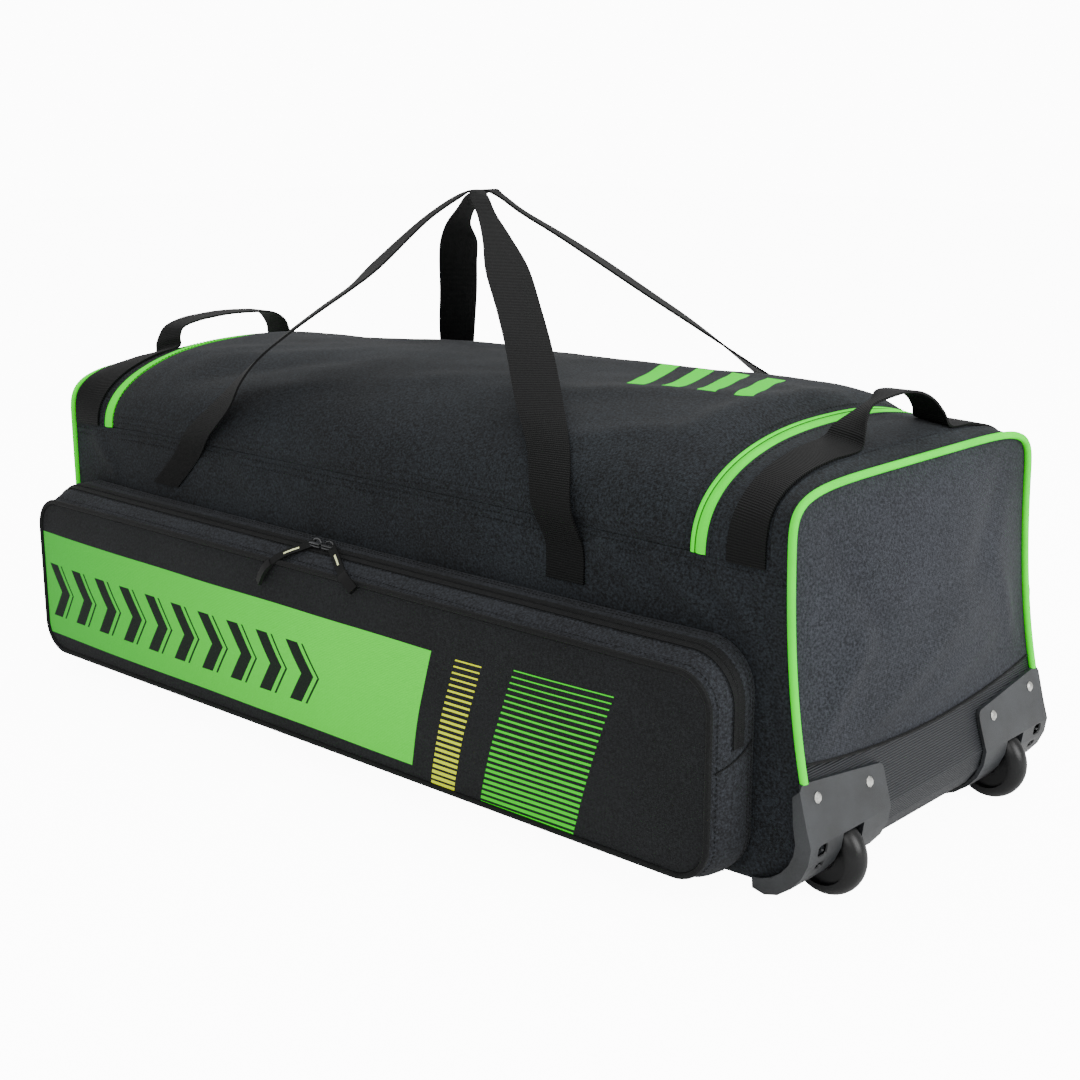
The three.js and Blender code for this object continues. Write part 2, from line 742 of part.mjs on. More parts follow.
function addCarryStrap(name, side, leftLeg, leftPlace) {
  const peakY = carryGripWidth / 2 + strapPeakGap;
  const place = (row, endX) => {
    const x = lerp(strapPeakPlace, endX, row.x);
    const z = lerp(strapEndHeight, strapPeakHeight, row.up);
    const wallY = halfWidthAt(x, Math.min(z, seamHeight)) + seamGap + webbingThickness / 2;
    const clearOfLid = z > seamHeight ? lidHalfWidthAt(x, z) + strapStandOff : 0;
    return new THREE.Vector3(x, side * Math.max(lerp(peakY, wallY, row.out), clearOfLid), z);
  };
  const route = [
    ...[...leftLeg].reverse().map((row) => ({ ...row, centre: place(row, leftPlace), leg: side })),
    { centre: new THREE.Vector3(strapPeakPlace, side * peakY, strapPeakHeight), up: 1, free: 1, leg: side },
    ...tautLeg.map((row) => ({ ...row, centre: place(row, strapRightPlace), leg: -side })),
  ];
  const rows = route.map(({ centre, up, free, leg }, i) => {
    const ahead = route[Math.min(i + 1, route.length - 1)].centre;
    const behind = route[Math.max(i - 1, 0)].centre;
    const run = new THREE.Vector3().subVectors(ahead, behind);
    const level = Math.atan2(Math.abs(run.x), -run.y * Math.sign(run.x));
    const sewn = leg > 0 ? 0 : Math.PI;
    const turn = lerp(sewn, level, free);
    const folded = THREE.MathUtils.smoothstep(up, strapFoldStart, strapFoldEnd);
    return {
      centre,
      across: new THREE.Vector3(Math.cos(turn), Math.sin(turn), 0),
      width: lerp(carryWebbingWidth, carryGripWidth, folded),
    };
  });
  const under = new THREE.Vector3(strapPeakPlace, 0, seamHeight);
  add(name, webbing(rows, under), blackWebbing);
}

// A handle band: sewn over the end gusset from seam to seam, with a free grip in the middle.
// along is the way round the grip from its front foot to its back foot, up its height over the
// gusset as a share of the rise, and width a share of the way from band to grip width.
const archedGrip = [
  { along: 0.07, up: 0.28, width: 0.3 },
  { along: 0.16, up: 0.58, width: 0.8 },
  { along: 0.28, up: 0.84, width: 1 },
  { along: 0.42, up: 0.98, width: 1 },
  { along: 0.55, up: 1, width: 1 },
  { along: 0.7, up: 0.9, width: 1 },
  { along: 0.83, up: 0.68, width: 0.8 },
  { along: 0.93, up: 0.34, width: 0.4 },
];
const flatGrip = [
  { along: 0.02, up: 0.35, width: 0.3 },
  { along: 0.07, up: 0.7, width: 0.8 },
  { along: 0.2, up: 0.88, width: 1 },
  { along: 0.35, up: 0.96, width: 1 },
  { along: 0.5, up: 1, width: 1 },
  { along: 0.68, up: 0.98, width: 1 },
  { along: 0.85, up: 0.9, width: 0.9 },
  { along: 0.95, up: 0.55, width: 0.4 },
];

const handleSewnSteps = 6;

// How far round the lid's section a point lies that is a given distance from the middle.
function turnAtReach(place, y) {
  let low = 0;
  let high = Math.PI;
  for (let i = 0; i < 30; i += 1) {
    const middle = (low + high) / 2;
    if (lidPoint(place, middle).y < y) low = middle;
    else high = middle;
  }
  return low;
}

function addHandle(name, place, { front, back, rise, grip }) {
  const lift = handleStandOff + webbingThickness / 2;
  const edge = handleWebbingWidth / 2;
  const onTop = (turn, offset) => {
    return lidPoint(place + offset, turn).addScaledVector(lidOutward(place + offset, turn), lift);
  };
  const rowsOnTop = (from, to) => evenShares(handleSewnSteps).map((share) => {
    const turn = lerp(from, to, share);
    return [-edge, 0, edge].map((offset) => onTop(turn, offset));
  });
  const start = turnAtHeight(place, seamGap);
  const frontRows = rowsOnTop(start, turnAtReach(place, -front));
  const backRows = rowsOnTop(turnAtReach(place, back), Math.PI - start);
  const startRow = frontRows[frontRows.length - 1];
  const endRow = backRows[0];
  const gripRows = grip.map((row) => {
    const width = lerp(1, handleGripWidth / handleWebbingWidth, row.width);
    const middle = startRow[1].clone().lerp(endRow[1], row.along);
    return [0, 1, 2].map((j) => {
      const point = startRow[j].clone().lerp(endRow[j], row.along);
      point.x = lerp(middle.x, point.x, width);
      point.z = lerp(point.z, middle.z, row.width) + rise * row.up;
      return point;
    });
  });
  const inside = new THREE.Vector3(place, 0, seamHeight);
  const points = [...frontRows, ...gripRows, ...backRows];
  add(name, clothFromGrid(points, -webbingThickness / 2, webbingThickness / 2, { inside }), blackWebbing);
}

// Pockets

const pocketCornerSteps = 4;
const pocketLongSteps = 6;
const pocketShortSteps = 2;

// Rounded outline in XZ, anticlockwise from the middle of the bottom, as equal-count points.
function pocketOutline(left, right, bottom, top, radius) {
  const corners = [
    { x: right - radius, z: bottom + radius, start: -Math.PI / 2 },
    { x: right - radius, z: top - radius, start: 0 },
    { x: left + radius, z: top - radius, start: Math.PI / 2 },
    { x: left + radius, z: bottom + radius, start: Math.PI },
  ];
  const points = [];
  corners.forEach((corner, k) => {
    for (let i = 0; i <= pocketCornerSteps; i += 1) {
      const turn = corner.start + ((Math.PI / 2) * i) / pocketCornerSteps;
      points.push(new THREE.Vector2(corner.x + radius * Math.cos(turn), corner.z + radius * Math.sin(turn)));
    }
    const next = corners[(k + 1) % 4];
    const from = points[points.length - 1];
    const to = new THREE.Vector2(
      next.x + radius * Math.cos(next.start),
      next.z + radius * Math.sin(next.start),
    );
    const steps = k % 2 === 0 ? pocketShortSteps : pocketLongSteps;
    for (let i = 1; i < steps; i += 1) points.push(from.clone().lerp(to, i / steps));
  });
  return points;
}

const faceOutline = pocketOutline(
  pocketFaceLeft,
  pocketFaceRight,
  pocketFaceBottom,
  pocketFaceTop,
  pocketFaceRadius,
);
const seamOutline = pocketOutline(
  pocketFaceLeft + pocketFlareSide,
  pocketFaceRight + pocketFlareSide,
  pocketFaceBottom - pocketFlareBottom,
  pocketFaceTop + pocketFlareTop,
  pocketSeamRadius,
);
const pocketMiddle = new THREE.Vector3(
  (pocketFaceLeft + pocketFaceRight) / 2,
  -halfWidth - pocketDepth / 2,
  (pocketFaceBottom + pocketFaceTop) / 2,
);

// A point of the pocket's gusset: i counts round the outline, depth runs from 0 at the wall to 1.
function gussetPoint(i, depth, shift) {
  const count = faceOutline.length;
  const k = Math.floor(i);
  const pick = (outline) => outline[k % count].clone().lerp(outline[(k + 1) % count], i - k);
  const seam = pick(seamOutline);
  const face = pick(faceOutline);
  const flat = seam.clone().lerp(face, depth);
  const ahead = faceOutline[(k + 1) % count].clone().sub(faceOutline[(k - 1 + count) % count]);
  const outward = new THREE.Vector2(ahead.y, -ahead.x).normalize();
  flat.addScaledVector(outward, gussetPuff * Math.sin(Math.PI * depth));
  const wallY = -(halfWidthAt(seam.x + shift, seam.y) + pocketWallGap);
  const faceY = pocketFacePlane + pocketPipingRadius + seamGap;
  return new THREE.Vector3(flat.x, lerp(wallY, faceY, depth), flat.y);
}

function pocketGusset(shift) {
  const points = faceOutline.map((_, i) => evenShares(3).map((depth) => gussetPoint(i, depth, shift)));
  return clothFromGrid(points, -clothThickness, 0, { closed: true, inside: pocketMiddle });
}

// The zip tape on the gusset, along the top and part of the way down both ends.
function pocketZip(shift) {
  const half = pocketZipWidth / 2 / pocketDepth;
  const count = faceOutline.length;
  const above = faceOutline.map((point, i) => ({ point, i })).filter(({ point, i }) => (
    point.y > pocketZipEndHeight && i > 0
  )).map(({ i }) => i);
  const crossing = (low, high) => {
    const lowZ = faceOutline[low % count].y;
    return low + ((high - low) * (pocketZipEndHeight - lowZ)) / (faceOutline[high % count].y - lowZ);
  };
  const first = above[0];
  const last = above[above.length - 1];
  const stops = [crossing(first - 1, first), ...above, crossing(last + 1, last)];
  const points = stops.map((i) => [-half, 0, half].map((offset) => gussetPoint(i, 0.5 + offset, shift)));
  return clothFromGrid(points, seamGap, seamGap + pocketZipThickness, { inside: pocketMiddle });
}

function pocketFace() {
  const count = faceOutline.length;
  const inset = pocketPipingRadius + seamGap;
  const middle = new THREE.Vector2(pocketMiddle.x, pocketMiddle.z);
  const halfLong = (pocketFaceRight - pocketFaceLeft) / 2;
  const halfHigh = (pocketFaceTop - pocketFaceBottom) / 2;
  const edge = faceOutline.map((point, i) => {
    const ahead = faceOutline[(i + 1) % count].clone().sub(faceOutline[(i - 1 + count) % count]);
    const inward = new THREE.Vector2(-ahead.y, ahead.x).normalize();
    return point.clone().addScaledVector(inward, inset);
  });
  // The rim split into four edges at the middles of its corners.
  const shortRun = pocketCornerSteps + pocketShortSteps;
  const longRun = pocketCornerSteps + pocketLongSteps;
  const cornerMiddle = pocketCornerSteps / 2;
  const splits = [0, shortRun, shortRun + longRun, 2 * shortRun + longRun].map((k) => k + cornerMiddle);
  const along = (from, to) => (t) => {
    const span = (to - from + count) % count;
    const at = from + span * t;
    const k = Math.floor(at);
    return edge[k % count].clone().lerp(edge[(k + 1) % count], at - k);
  };
  const bottom = along(splits[3], splits[0]);
  const right = along(splits[0], splits[1]);
  const topBackwards = along(splits[1], splits[2]);
  const leftBackwards = along(splits[2], splits[3]);
  const points = grid(12, 6, (u, v) => {
    const flat = blendEdges(bottom, (s) => topBackwards(1 - s), (s) => leftBackwards(1 - s), right, u, v);
    const across = THREE.MathUtils.clamp((flat.x - middle.x) / halfLong, -1, 1);
    const up = THREE.MathUtils.clamp((flat.y - middle.y) / halfHigh, -1, 1);
    const puff = pocketPuff * (1 - across ** 6) * (1 - up ** 2);
    return new THREE.Vector3(flat.x, pocketFacePlane - puff, flat.y);
  });
  return clothFromGrid(points, -clothThickness, 0, { inside: pocketMiddle });
}

function pocketPiping() {
  const points = faceOutline.map((point) => new THREE.Vector3(point.x, pocketFacePlane, point.y));
  return roundCord(points, pocketPipingRadius, 6, true);
}

// A slider on the pocket zip, with chamfered ends.
const sliderRestZ = (pocketFaceTop + pocketFaceTop + pocketFlareTop) / 2
  + gussetPuff + pocketZipThickness + 2 * seamGap + sliderClearance;

function zipSlider(x, y, z) {
  const nose = 0.3 * sliderLength;
  const half = sliderLength / 2;
  const waist = sliderWidth / 2;
  const outline = [
    [-half, -0.6 * waist],
    [-half + nose, -waist],
    [half, -waist],
    [half, waist],
    [-half + nose, waist],
    [-half, 0.6 * waist],
  ];
  const shape = new THREE.Shape(outline.map(([a, b]) => new THREE.Vector2(a, b)));
  const geometry = new THREE.ExtrudeGeometry(shape, { depth: sliderHeight, bevelEnabled: false });
  geometry.translate(x, y, z);
  return geometry;
}

// A cord pull that lies over the pocket's front edge. run and out are shares of the pull's reach
// along the zip and of the way from the slider to the front of the pocket, down is in shares of
// the drop.
const pullRoute = [
  { run: 0.0, out: 0.0, down: 0.0 },
  { run: 0.35, out: 0.42, down: 0.05 },
  { run: 0.65, out: 0.74, down: 0.2 },
  { run: 0.88, out: 0.98, down: 0.52 },
  { run: 1.0, out: 1.02, down: 1.0 },
];
const pullReach = 48;
const pullDrop = 36;

function pocketPull(x, direction) {
  const startY = -(halfWidth + pocketDepth / 2 + sliderWidth / 2 + pullThickness / 2 + 1.2);
  const frontY = pocketFacePlane - pocketPipingRadius - pocketPuff * 0.5 - pullThickness - seamGap;
  const rows = pullRoute.map((row) => new THREE.Vector3(
    x + direction * pullReach * row.run,
    lerp(startY, frontY, row.out),
    sliderRestZ + sliderHeight / 2 + 1 - pullDrop * row.down,
  ));
  const points = rows.map((centre, i) => {
    const ahead = rows[Math.min(i + 1, rows.length - 1)];
    const behind = rows[Math.max(i - 1, 0)];
    const run = new THREE.Vector3().subVectors(ahead, behind);
    const outward = new THREE.Vector3(0, -0.7, 0.7);
    const across = new THREE.Vector3().crossVectors(run, outward).normalize();
    return [-0.5, 0.5].map((share) => centre.clone().addScaledVector(across, share * pullWidth));
  });
  const inside = new THREE.Vector3(x, -halfWidth, pocketFaceBottom);
  return clothFromGrid(points, -pullThickness / 2, pullThickness / 2, { inside });
}

// The same shape on the other side of the bag.
function mirrored(geometry) {
  const whole = geometry.index ? geometry : mergeVertices(geometry);
  const positions = Array.from(whole.attributes.position.array, (value, i) => (i % 3 === 1 ? -value : value));
  return geometryFrom(positions, Array.from(whole.index.array));
}

function addPocket(side, shift, sliders) {
  const place = (geometry) => (side === 'back' ? mirrored(geometry) : geometry).translate(shift, 0, 0);
  add(`${side}_pocket_gusset`, place(pocketGusset(shift)), blackCloth);
  add(`${side}_pocket_face`, place(pocketFace()), blackCloth);
  add(`${side}_pocket_piping`, place(pocketPiping()), blackTrim);
  add(`${side}_pocket_zip`, place(pocketZip(shift)), blackTrim);
  sliders.forEach(({ name, x, direction }) => {
    const slider = zipSlider(x, -(halfWidth + pocketDepth / 2), sliderRestZ);
    add(`${side}_pocket_${name}slider`, place(slider), sliderMetal);
    add(`${side}_pocket_${name}pull`, place(pocketPull(x, direction)), blackTrim);
  });
}

// Wheel housings

// Points of the body's lower curve at the wheel end, set outwards, from under the base upwards.
function endCurveOutline(offset, fromPlace, topHeight) {
  const end = sectionAt(wheelEnd);
  const points = [];
  const steps = 6;
  for (let i = 0; i <= steps; i += 1) {
    const place = lerp(fromPlace, wheelEnd, i / steps);
    const section = sectionAt(place);
    const turn = Math.max(((Math.PI / 2) * (place - wheelCurveStart)) / wheelCurveLength, 0);
    const normal = new THREE.Vector2(
      Math.sin(turn) * wheelCurveHeight,
      -Math.cos(turn) * wheelCurveLength,
    ).normalize();
    points.push([section.lowX + normal.x * offset, section.lowZ + normal.y * offset]);
  }
  const upSteps = 3;
  for (let i = 1; i <= upSteps; i += 1) {
    const z = lerp(wheelEndFloor, topHeight, i / upSteps);
    points.push([pointInSection(end, 0, z).x + offset, z]);
  }
  return points;
}

const wheelHeight = wheelRadius;
const wellHalfWidth = wheelWidth / 2 + wheelClearance;
const wellRadius = wheelRadius + wheelClearance;
const plateOuterY = halfWidth + plateGap + plateThickness;
const plateBottomPlace = bandPlace + 8;
const plateTopHeight = plateTopOuter + 12;
const plateFloor = 1;

function plateShape() {
  const shape = new THREE.Shape();
  shape.moveTo(-plateOuterY, plateFloor);
  shape.lineTo(-plateOuterY, plateTopOuter - plateCornerRadius);
  shape.quadraticCurveTo(-plateOuterY, plateTopOuter, -plateOuterY + plateCornerRadius, plateTopOuter);
  shape.lineTo(-plateInner - plateCornerRadius, plateTopInner);
  shape.quadraticCurveTo(-plateInner, plateTopInner, -plateInner, plateTopInner - plateCornerRadius);
  shape.lineTo(-plateInner - 2, plateFloor);
  shape.closePath();
  return shape;
}

// Angle between the wheel-end face and the upright at a height.
function leanAngleAt(z) {
  const end = sectionAt(wheelEnd);
  return Math.atan2(pointInSection(end, 0, z - 1).x - pointInSection(end, 0, z + 1).x, 2);
}

const rivetPlaces = [
  { name: 'outer', y: -rivetOuter, z: plateTopOuter - rivetDrop - 3 },
  { name: 'inner', y: -rivetInner, z: plateTopInner - rivetDrop + 1 },
];

// Puts a geometry made along +X from the origin on the wheel-end face at a given y and z.
function onEndFace(geometry, y, z, offset) {
  const foot = pointInSection(sectionAt(wheelEnd), y, z);
  const leanAngle = leanAngleAt(z);
  geometry.rotateY(-leanAngle);
  geometry.translate(
    foot.x + offset * Math.cos(leanAngle),
    y,
    z + offset * Math.sin(leanAngle),
  );
  return geometry;
}

function rivetHole(place, radius) {
  const hole = new THREE.CylinderGeometry(radius, radius, 30, 10);
  hole.rotateZ(Math.PI / 2);
  return onEndFace(hole, place.y, place.z, 0);
}

function rivet(place) {
  const dome = [
    [0, -plateThickness - clothThickness],
    [rivetShankRadius, -plateThickness - clothThickness],
    [rivetShankRadius, 0],
    [rivetHeadRadius, 0],
    [0.65 * rivetHeadRadius, 0.75 * rivetHeadHeight],
    [0, rivetHeadHeight],
  ].map(([r, h]) => new THREE.Vector2(r, h));
  const geometry = new THREE.LatheGeometry(dome, 8);
  geometry.rotateZ(-Math.PI / 2);
  return onEndFace(geometry, place.y, place.z, plateThickness + plateGap + seamGap);
}

// The room round the axle's two heads, beside the cheeks of the wheel well.
function axleHeadRoom(extra) {
  const cheek = wellHalfWidth + housingWall;
  return [-1, 1].map((side) => {
    const near = -wheelTrack / 2 + side * (cheek - 0.01);
    const far = -wheelTrack / 2 + side * (cheek + axleHeadLength + 2 * runningGap + extra);
    const radius = axleHeadRadius + runningGap + extra;
    return solidOf(rodAlongY(radius, Math.min(near, far), Math.max(near, far), wheelPlace, wheelHeight, 10));
  });
}

function housingSolid() {
  const wheelY = -wheelTrack / 2;
  const inner = endCurveOutline(plateGap, plateBottomPlace, plateTopHeight);
  const outer = endCurveOutline(plateGap + plateThickness, plateBottomPlace, plateTopHeight);
  const skin = prismAlongY([...inner, ...outer.slice().reverse()], -plateOuterY, -plateInner + 1);
  const plateBlock = prismAlongX(plateShape(), wheelCurveStart - 20, wheelEnd + 20);
  const plate = solidOf(skin).intersect(solidOf(plateBlock));

  const rimTop = plateTopOuter - 4;
  const rimInner = endCurveOutline(plateGap + plateThickness - rimWidth, plateBottomPlace, rimTop);
  const rimOuter = endCurveOutline(plateGap + plateThickness, plateBottomPlace, rimTop);
  const rimOutline = [...rimInner, ...rimOuter.reverse()];
  const rimY = halfWidth + plateGap;
  const rim = solidOf(prismAlongY(rimOutline, -plateOuterY, -rimY));

  const inside = [
    ...endCurveOutline(2 * plateGap, plateBottomPlace, plateTopHeight),
    [wheelCurveStart - 20, plateTopHeight],
  ];
  const wellBlock = solidOf(rodAlongY(
    wellRadius + housingWall,
    wheelY - wellHalfWidth - housingWall,
    wheelY + wellHalfWidth + housingWall,
    wheelPlace,
    wheelHeight,
    18,
  )).intersect(solidOf(prismAlongY(inside, wheelY - 40, wheelY + 40)));
  const cavity = solidOf(rodAlongY(
    wellRadius,
    wheelY - wellHalfWidth,
    wheelY + wellHalfWidth,
    wheelPlace,
    wheelHeight,
    18,
  ));
  const axleHole = solidOf(rodAlongY(
    axleRadius + runningGap,
    wheelY - wellHalfWidth - 10,
    wheelY + wellHalfWidth + 10,
    wheelPlace,
    wheelHeight,
    10,
  ));
  let housing = plate.add(rim).add(wellBlock).subtract(cavity).subtract(axleHole);
  axleHeadRoom(0).forEach((room) => {
    housing = housing.subtract(room);
  });
  rivetPlaces.forEach((place) => {
    housing = housing.subtract(solidOf(rivetHole(place, rivetShankRadius + seamGap)));
  });
  return housing;
}

// Room that the housing's well and rivets take out of the scuff band.
function wellRoom() {
  const wheelY = -wheelTrack / 2;
  let room = solidOf(rodAlongY(
    wellRadius + housingWall + seamGap + 0.2,
    wheelY - wellHalfWidth - housingWall - seamGap,
    wheelY + wellHalfWidth + housingWall + seamGap,
    wheelPlace,
    wheelHeight,
    18,
  ));
  axleHeadRoom(1).forEach((headRoom) => {
    room = room.add(headRoom);
  });
  rivetPlaces.forEach((place) => {
    room = room.add(solidOf(rivetHole(place, rivetShankRadius + seamGap)));
  });
  return room;
}

const wheelSides = 18;

// The wheel: a round tread, a dished web and a hub with a bore.
function wheelGeometry() {
  const half = wheelWidth / 2;
  const tread = 4;
  const profile = [[wheelBoreRadius, -half + 1], [wheelBoreRadius + 5, -half + 1],
    [0.66 * wheelRadius, -half + 4], [0.72 * wheelRadius, -half + 1]];
  for (let i = 0; i <= tread; i += 1) {
    const turn = -Math.PI / 2 + (Math.PI * i) / tread;
    profile.push([wheelRadius - half * 0.9 + half * 0.9 * Math.cos(turn), half * Math.sin(turn)]);
  }
  profile.push([0.72 * wheelRadius, half - 1], [0.66 * wheelRadius, half - 4],
    [wheelBoreRadius + 5, half - 1], [wheelBoreRadius, half - 1], [wheelBoreRadius, -half + 1]);
  const geometry = new THREE.LatheGeometry(profile.map(([r, y]) => new THREE.Vector2(r, y)), wheelSides);
  return geometry;
}

function axleGeometry() {
  const reach = wellHalfWidth + housingWall + runningGap;
  const profile = [
    [0, -reach - axleHeadLength],
    [axleHeadRadius, -reach - axleHeadLength],
    [axleHeadRadius, -reach],
    [axleRadius, -reach],
    [axleRadius, reach],
    [axleHeadRadius, reach],
    [axleHeadRadius, reach + axleHeadLength],
    [0, reach + axleHeadLength],
  ];
  return new THREE.LatheGeometry(profile.map(([r, y]) => new THREE.Vector2(r, y)), 12);
}

function addWheelSets() {
  const housing = housingSolid();
  const mirror = (solid) => solid.mirror([0, 1, 0]);
  add('front_wheel_housing', geometryOf(housing), housingPlastic);
  add('back_wheel_housing', geometryOf(mirror(housing)), housingPlastic);
  const room = wellRoom();
  const band = solidOf(scuffBand()).subtract(room).subtract(mirror(room));
  add('scuff_band', geometryOf(band), scuffCloth);
  [{ name: 'front', side: -1 }, { name: 'back', side: 1 }].forEach(({ name, side }) => {
    rivetPlaces.forEach((place) => {
      add(`${name}_rivet_${place.name}`, rivet({ ...place, y: -side * place.y }), steel);
    });
    const axle = add(`${name}_axle`, axleGeometry(), steel);
    const wheel = add(`${name}_wheel`, wheelGeometry(), wheelPlastic);
    [axle, wheel].forEach((mesh) => mesh.position.set(wheelPlace, (side * wheelTrack) / 2, wheelHeight));
  });
}

// The bag
addBase();
addWall('front_wall', -1);
addWall('back_wall', 1);
addTops();
addEndPanel('wheel_end_panel', wheelEnd, bandHeightAt, wheelEndBow, bandSideHeight - 10, 1);
addEndPanel('far_end_panel', farEnd, () => farCurveRadius + 1, farEndBow, farCurveRadius, -1);
addEndPiping('wheel_end_piping', wheelEnd, plateTopOuter + 3, 1);
addEndPiping('far_end_piping', farEnd, farCurveRadius + baseEdgeRadius, -1);
addHandle('wheel_end_handle', wheelHandlePlace, {
  front: wheelHandleFront,
  back: wheelHandleBack,
  rise: wheelHandleRise,
  grip: archedGrip,
});
addHandle('far_end_handle', farHandlePlace, {
  front: farHandleFront,
  back: farHandleBack,
  rise: farHandleRise,
  grip: flatGrip,
});
addPocket('front', 0, [
  { name: 'left_', x: pocketSliderPlace - pocketSliderSpacing / 2, direction: -1 },
  { name: 'right_', x: pocketSliderPlace + pocketSliderSpacing / 2, direction: 1 },
]);
addPocket('back', backPocketShift, [{ name: '', x: 0, direction: 1 }]);
addCarryStrap('front_carry_strap', -1, slackLeg, strapLeftPlace);
addCarryStrap('back_carry_strap', 1, bowedLeg, strapBackLeftPlace);
addWheelSets();

// The origin is under the middle of the whole bag, on the floor.
const outline = new THREE.Box3().setFromObject(bag);
bag.position.x = -(outline.min.x + outline.max.x) / 2;

export default bag;
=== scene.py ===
"""A wheeled cricket kit bag: cloth body with a domed lid, zips, pockets, straps and wheels."""

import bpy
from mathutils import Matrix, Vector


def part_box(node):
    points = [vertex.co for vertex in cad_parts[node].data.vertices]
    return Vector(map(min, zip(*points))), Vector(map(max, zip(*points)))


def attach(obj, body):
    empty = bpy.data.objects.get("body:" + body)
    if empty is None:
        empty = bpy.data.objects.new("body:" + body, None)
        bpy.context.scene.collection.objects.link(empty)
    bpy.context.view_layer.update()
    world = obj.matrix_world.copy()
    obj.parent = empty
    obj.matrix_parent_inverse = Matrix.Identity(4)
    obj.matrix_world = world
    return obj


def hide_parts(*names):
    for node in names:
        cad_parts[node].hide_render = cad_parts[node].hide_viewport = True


bl_info = {
    "name": "Wheeled Cricket Kit Bag",
    "version": (1, 0, 0),
    "blender": (4, 5, 0),
    "location": "View3D > Sidebar > Kit Bag",
    "description": "Makes the cloth, webbing, zips and wheels of a wheeled cricket kit bag",
    "category": "Add Mesh",
}

import functools
import math

import bmesh
import bpy
import numpy as np
from mathutils import Matrix, Vector, noise

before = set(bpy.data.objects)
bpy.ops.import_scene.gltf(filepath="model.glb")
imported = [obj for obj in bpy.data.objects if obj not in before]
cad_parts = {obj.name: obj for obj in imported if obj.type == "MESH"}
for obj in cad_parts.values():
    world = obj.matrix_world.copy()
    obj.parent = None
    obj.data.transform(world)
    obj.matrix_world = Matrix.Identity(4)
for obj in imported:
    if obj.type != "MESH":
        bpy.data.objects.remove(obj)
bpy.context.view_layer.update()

# The part's own coordinates are in millimetres, with the far end of the base at x = -470.
MM = 0.001
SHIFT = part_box("base_panel")[0].x / MM + 470

# Sizes that the pieces share with the solids, in millimetres
LENGTH = 940
HALF = 187
SEAM = 272
RISE = 100
FAR_END = -470
FAR_CURVE = 25
CURVE_START = 420
CURVE_LENGTH = 58
CURVE_HEIGHT = 50
WHEEL_END = 478
END_LIFT = 12
LEAN = 31
EDGE = 18
FACE_PLANE = -230
ZIP_WIDTH = 14
WHEEL_ZIP = 360
FAR_ZIP = -412
BACK_POCKET_SHIFT = 20
CLOTH = 2
GAP = 0.3
WALL_BULGE = 3
PEAK_PLACE = -34
PEAK_HEIGHT = 517
STRAP_FOOT = 223
STRAP_RIGHT = 238
FRONT_STRAP_LEFT = -300
BACK_STRAP_LEFT = -275
PIPING_RADIUS = 3.2
PIPING_STAND = 2.8
PIPING_FOOT = 108
END_INSET = 1.5
WHEEL_END_BOW = 26
FAR_END_BOW = 14
HANDLE_LIFT = 2
HANDLE_WIDTH = 38
GRIP_WIDTH = 26
ZIP_FOOT = 124
FACE_INSET = 2.9
PLATE_OUT = 3.8
RIM_SIDE = 187.2
FOOT_LIFT = 3.2
AXLE_REACH = 17.4
CAMERA_PLACE = (1.116, -1.191, 0.595)
CAMERA_TILT = 14.25
CAMERA_TURN = 42.1
CAMERA_LENS = 57.03

# Steps of the cloth grids over the bag's top, in the end panels and in the pockets
TOP_STEPS = 110
PANEL_STEPS = 64
GUSSET_STEPS = 12
FACE_COLUMNS = 120
FACE_ROWS = 36

# Shares of the wall's girth that its lower corner takes, and of a webbing's width across its rows
CORNER_SHARE = 0.12
ACROSS = (-0.5, -0.25, 0, 0.25, 0.5)

# Cross sections from the far end: place, half width, seam height, lid rise, squareness
SECTIONS = (
    (-0.5, 0.96, 0.975, 0.5, 4.2),
    (-0.47, 0.968, 0.98, 0.65, 2.7),
    (-0.435, 0.978, 0.985, 0.74, 2.2),
    (-0.38, 0.99, 0.995, 0.8, 2.2),
    (-0.32, 0.995, 1, 0.8, 2.3),
    (-0.085, 1, 1, 0.9, 2.4),
    (0.12, 1, 1, 0.91, 2.4),
    (0.32, 0.997, 0.99, 0.93, 2.4),
    (0.355, 0.994, 0.987, 0.9, 2.35),
    (0.383, 0.99, 0.984, 0.78, 2.35),
    (0.41, 0.987, 0.98, 0.72, 2.6),
    (0.45, 0.983, 0.977, 0.65, 3.4),
    (0.51, 0.975, 0.974, 0.53, 6),
)


def lerp(a, b, t):
    return a + (b - a) * t


def clamp(value, low=0.0, high=1.0):
    return max(low, min(high, value))


def steps(count):
    return [i / count for i in range(count + 1)]


def ease(t):
    t = clamp(t)
    return t * t * (3 - 2 * t)


# Shape of the body


def column_at(rows, column, at):
    """Smooth value of one column of a table, which doesn't overshoot its rows."""
    k = 0
    while k < len(rows) - 2 and at > rows[k + 1][0]:
        k += 1

    def slope(i):
        if i < 0 or i >= len(rows) - 1:
            return 0
        return (rows[i + 1][column] - rows[i][column]) / (rows[i + 1][0] - rows[i][0])

    def knot(i):
        before, after = slope(i - 1), slope(i)
        return 0 if before * after <= 0 else 2 * before * after / (before + after)

    span = rows[k + 1][0] - rows[k][0]
    t = clamp((at - rows[k][0]) / span)
    h1, h2 = 2 * t**3 - 3 * t**2 + 1, t**3 - 2 * t**2 + t
    h3, h4 = -2 * t**3 + 3 * t**2, t**3 - t**2
    return (
        h1 * rows[k][column]
        + h2 * span * knot(k)
        + h3 * rows[k + 1][column]
        + h4 * span * knot(k + 1)
    )


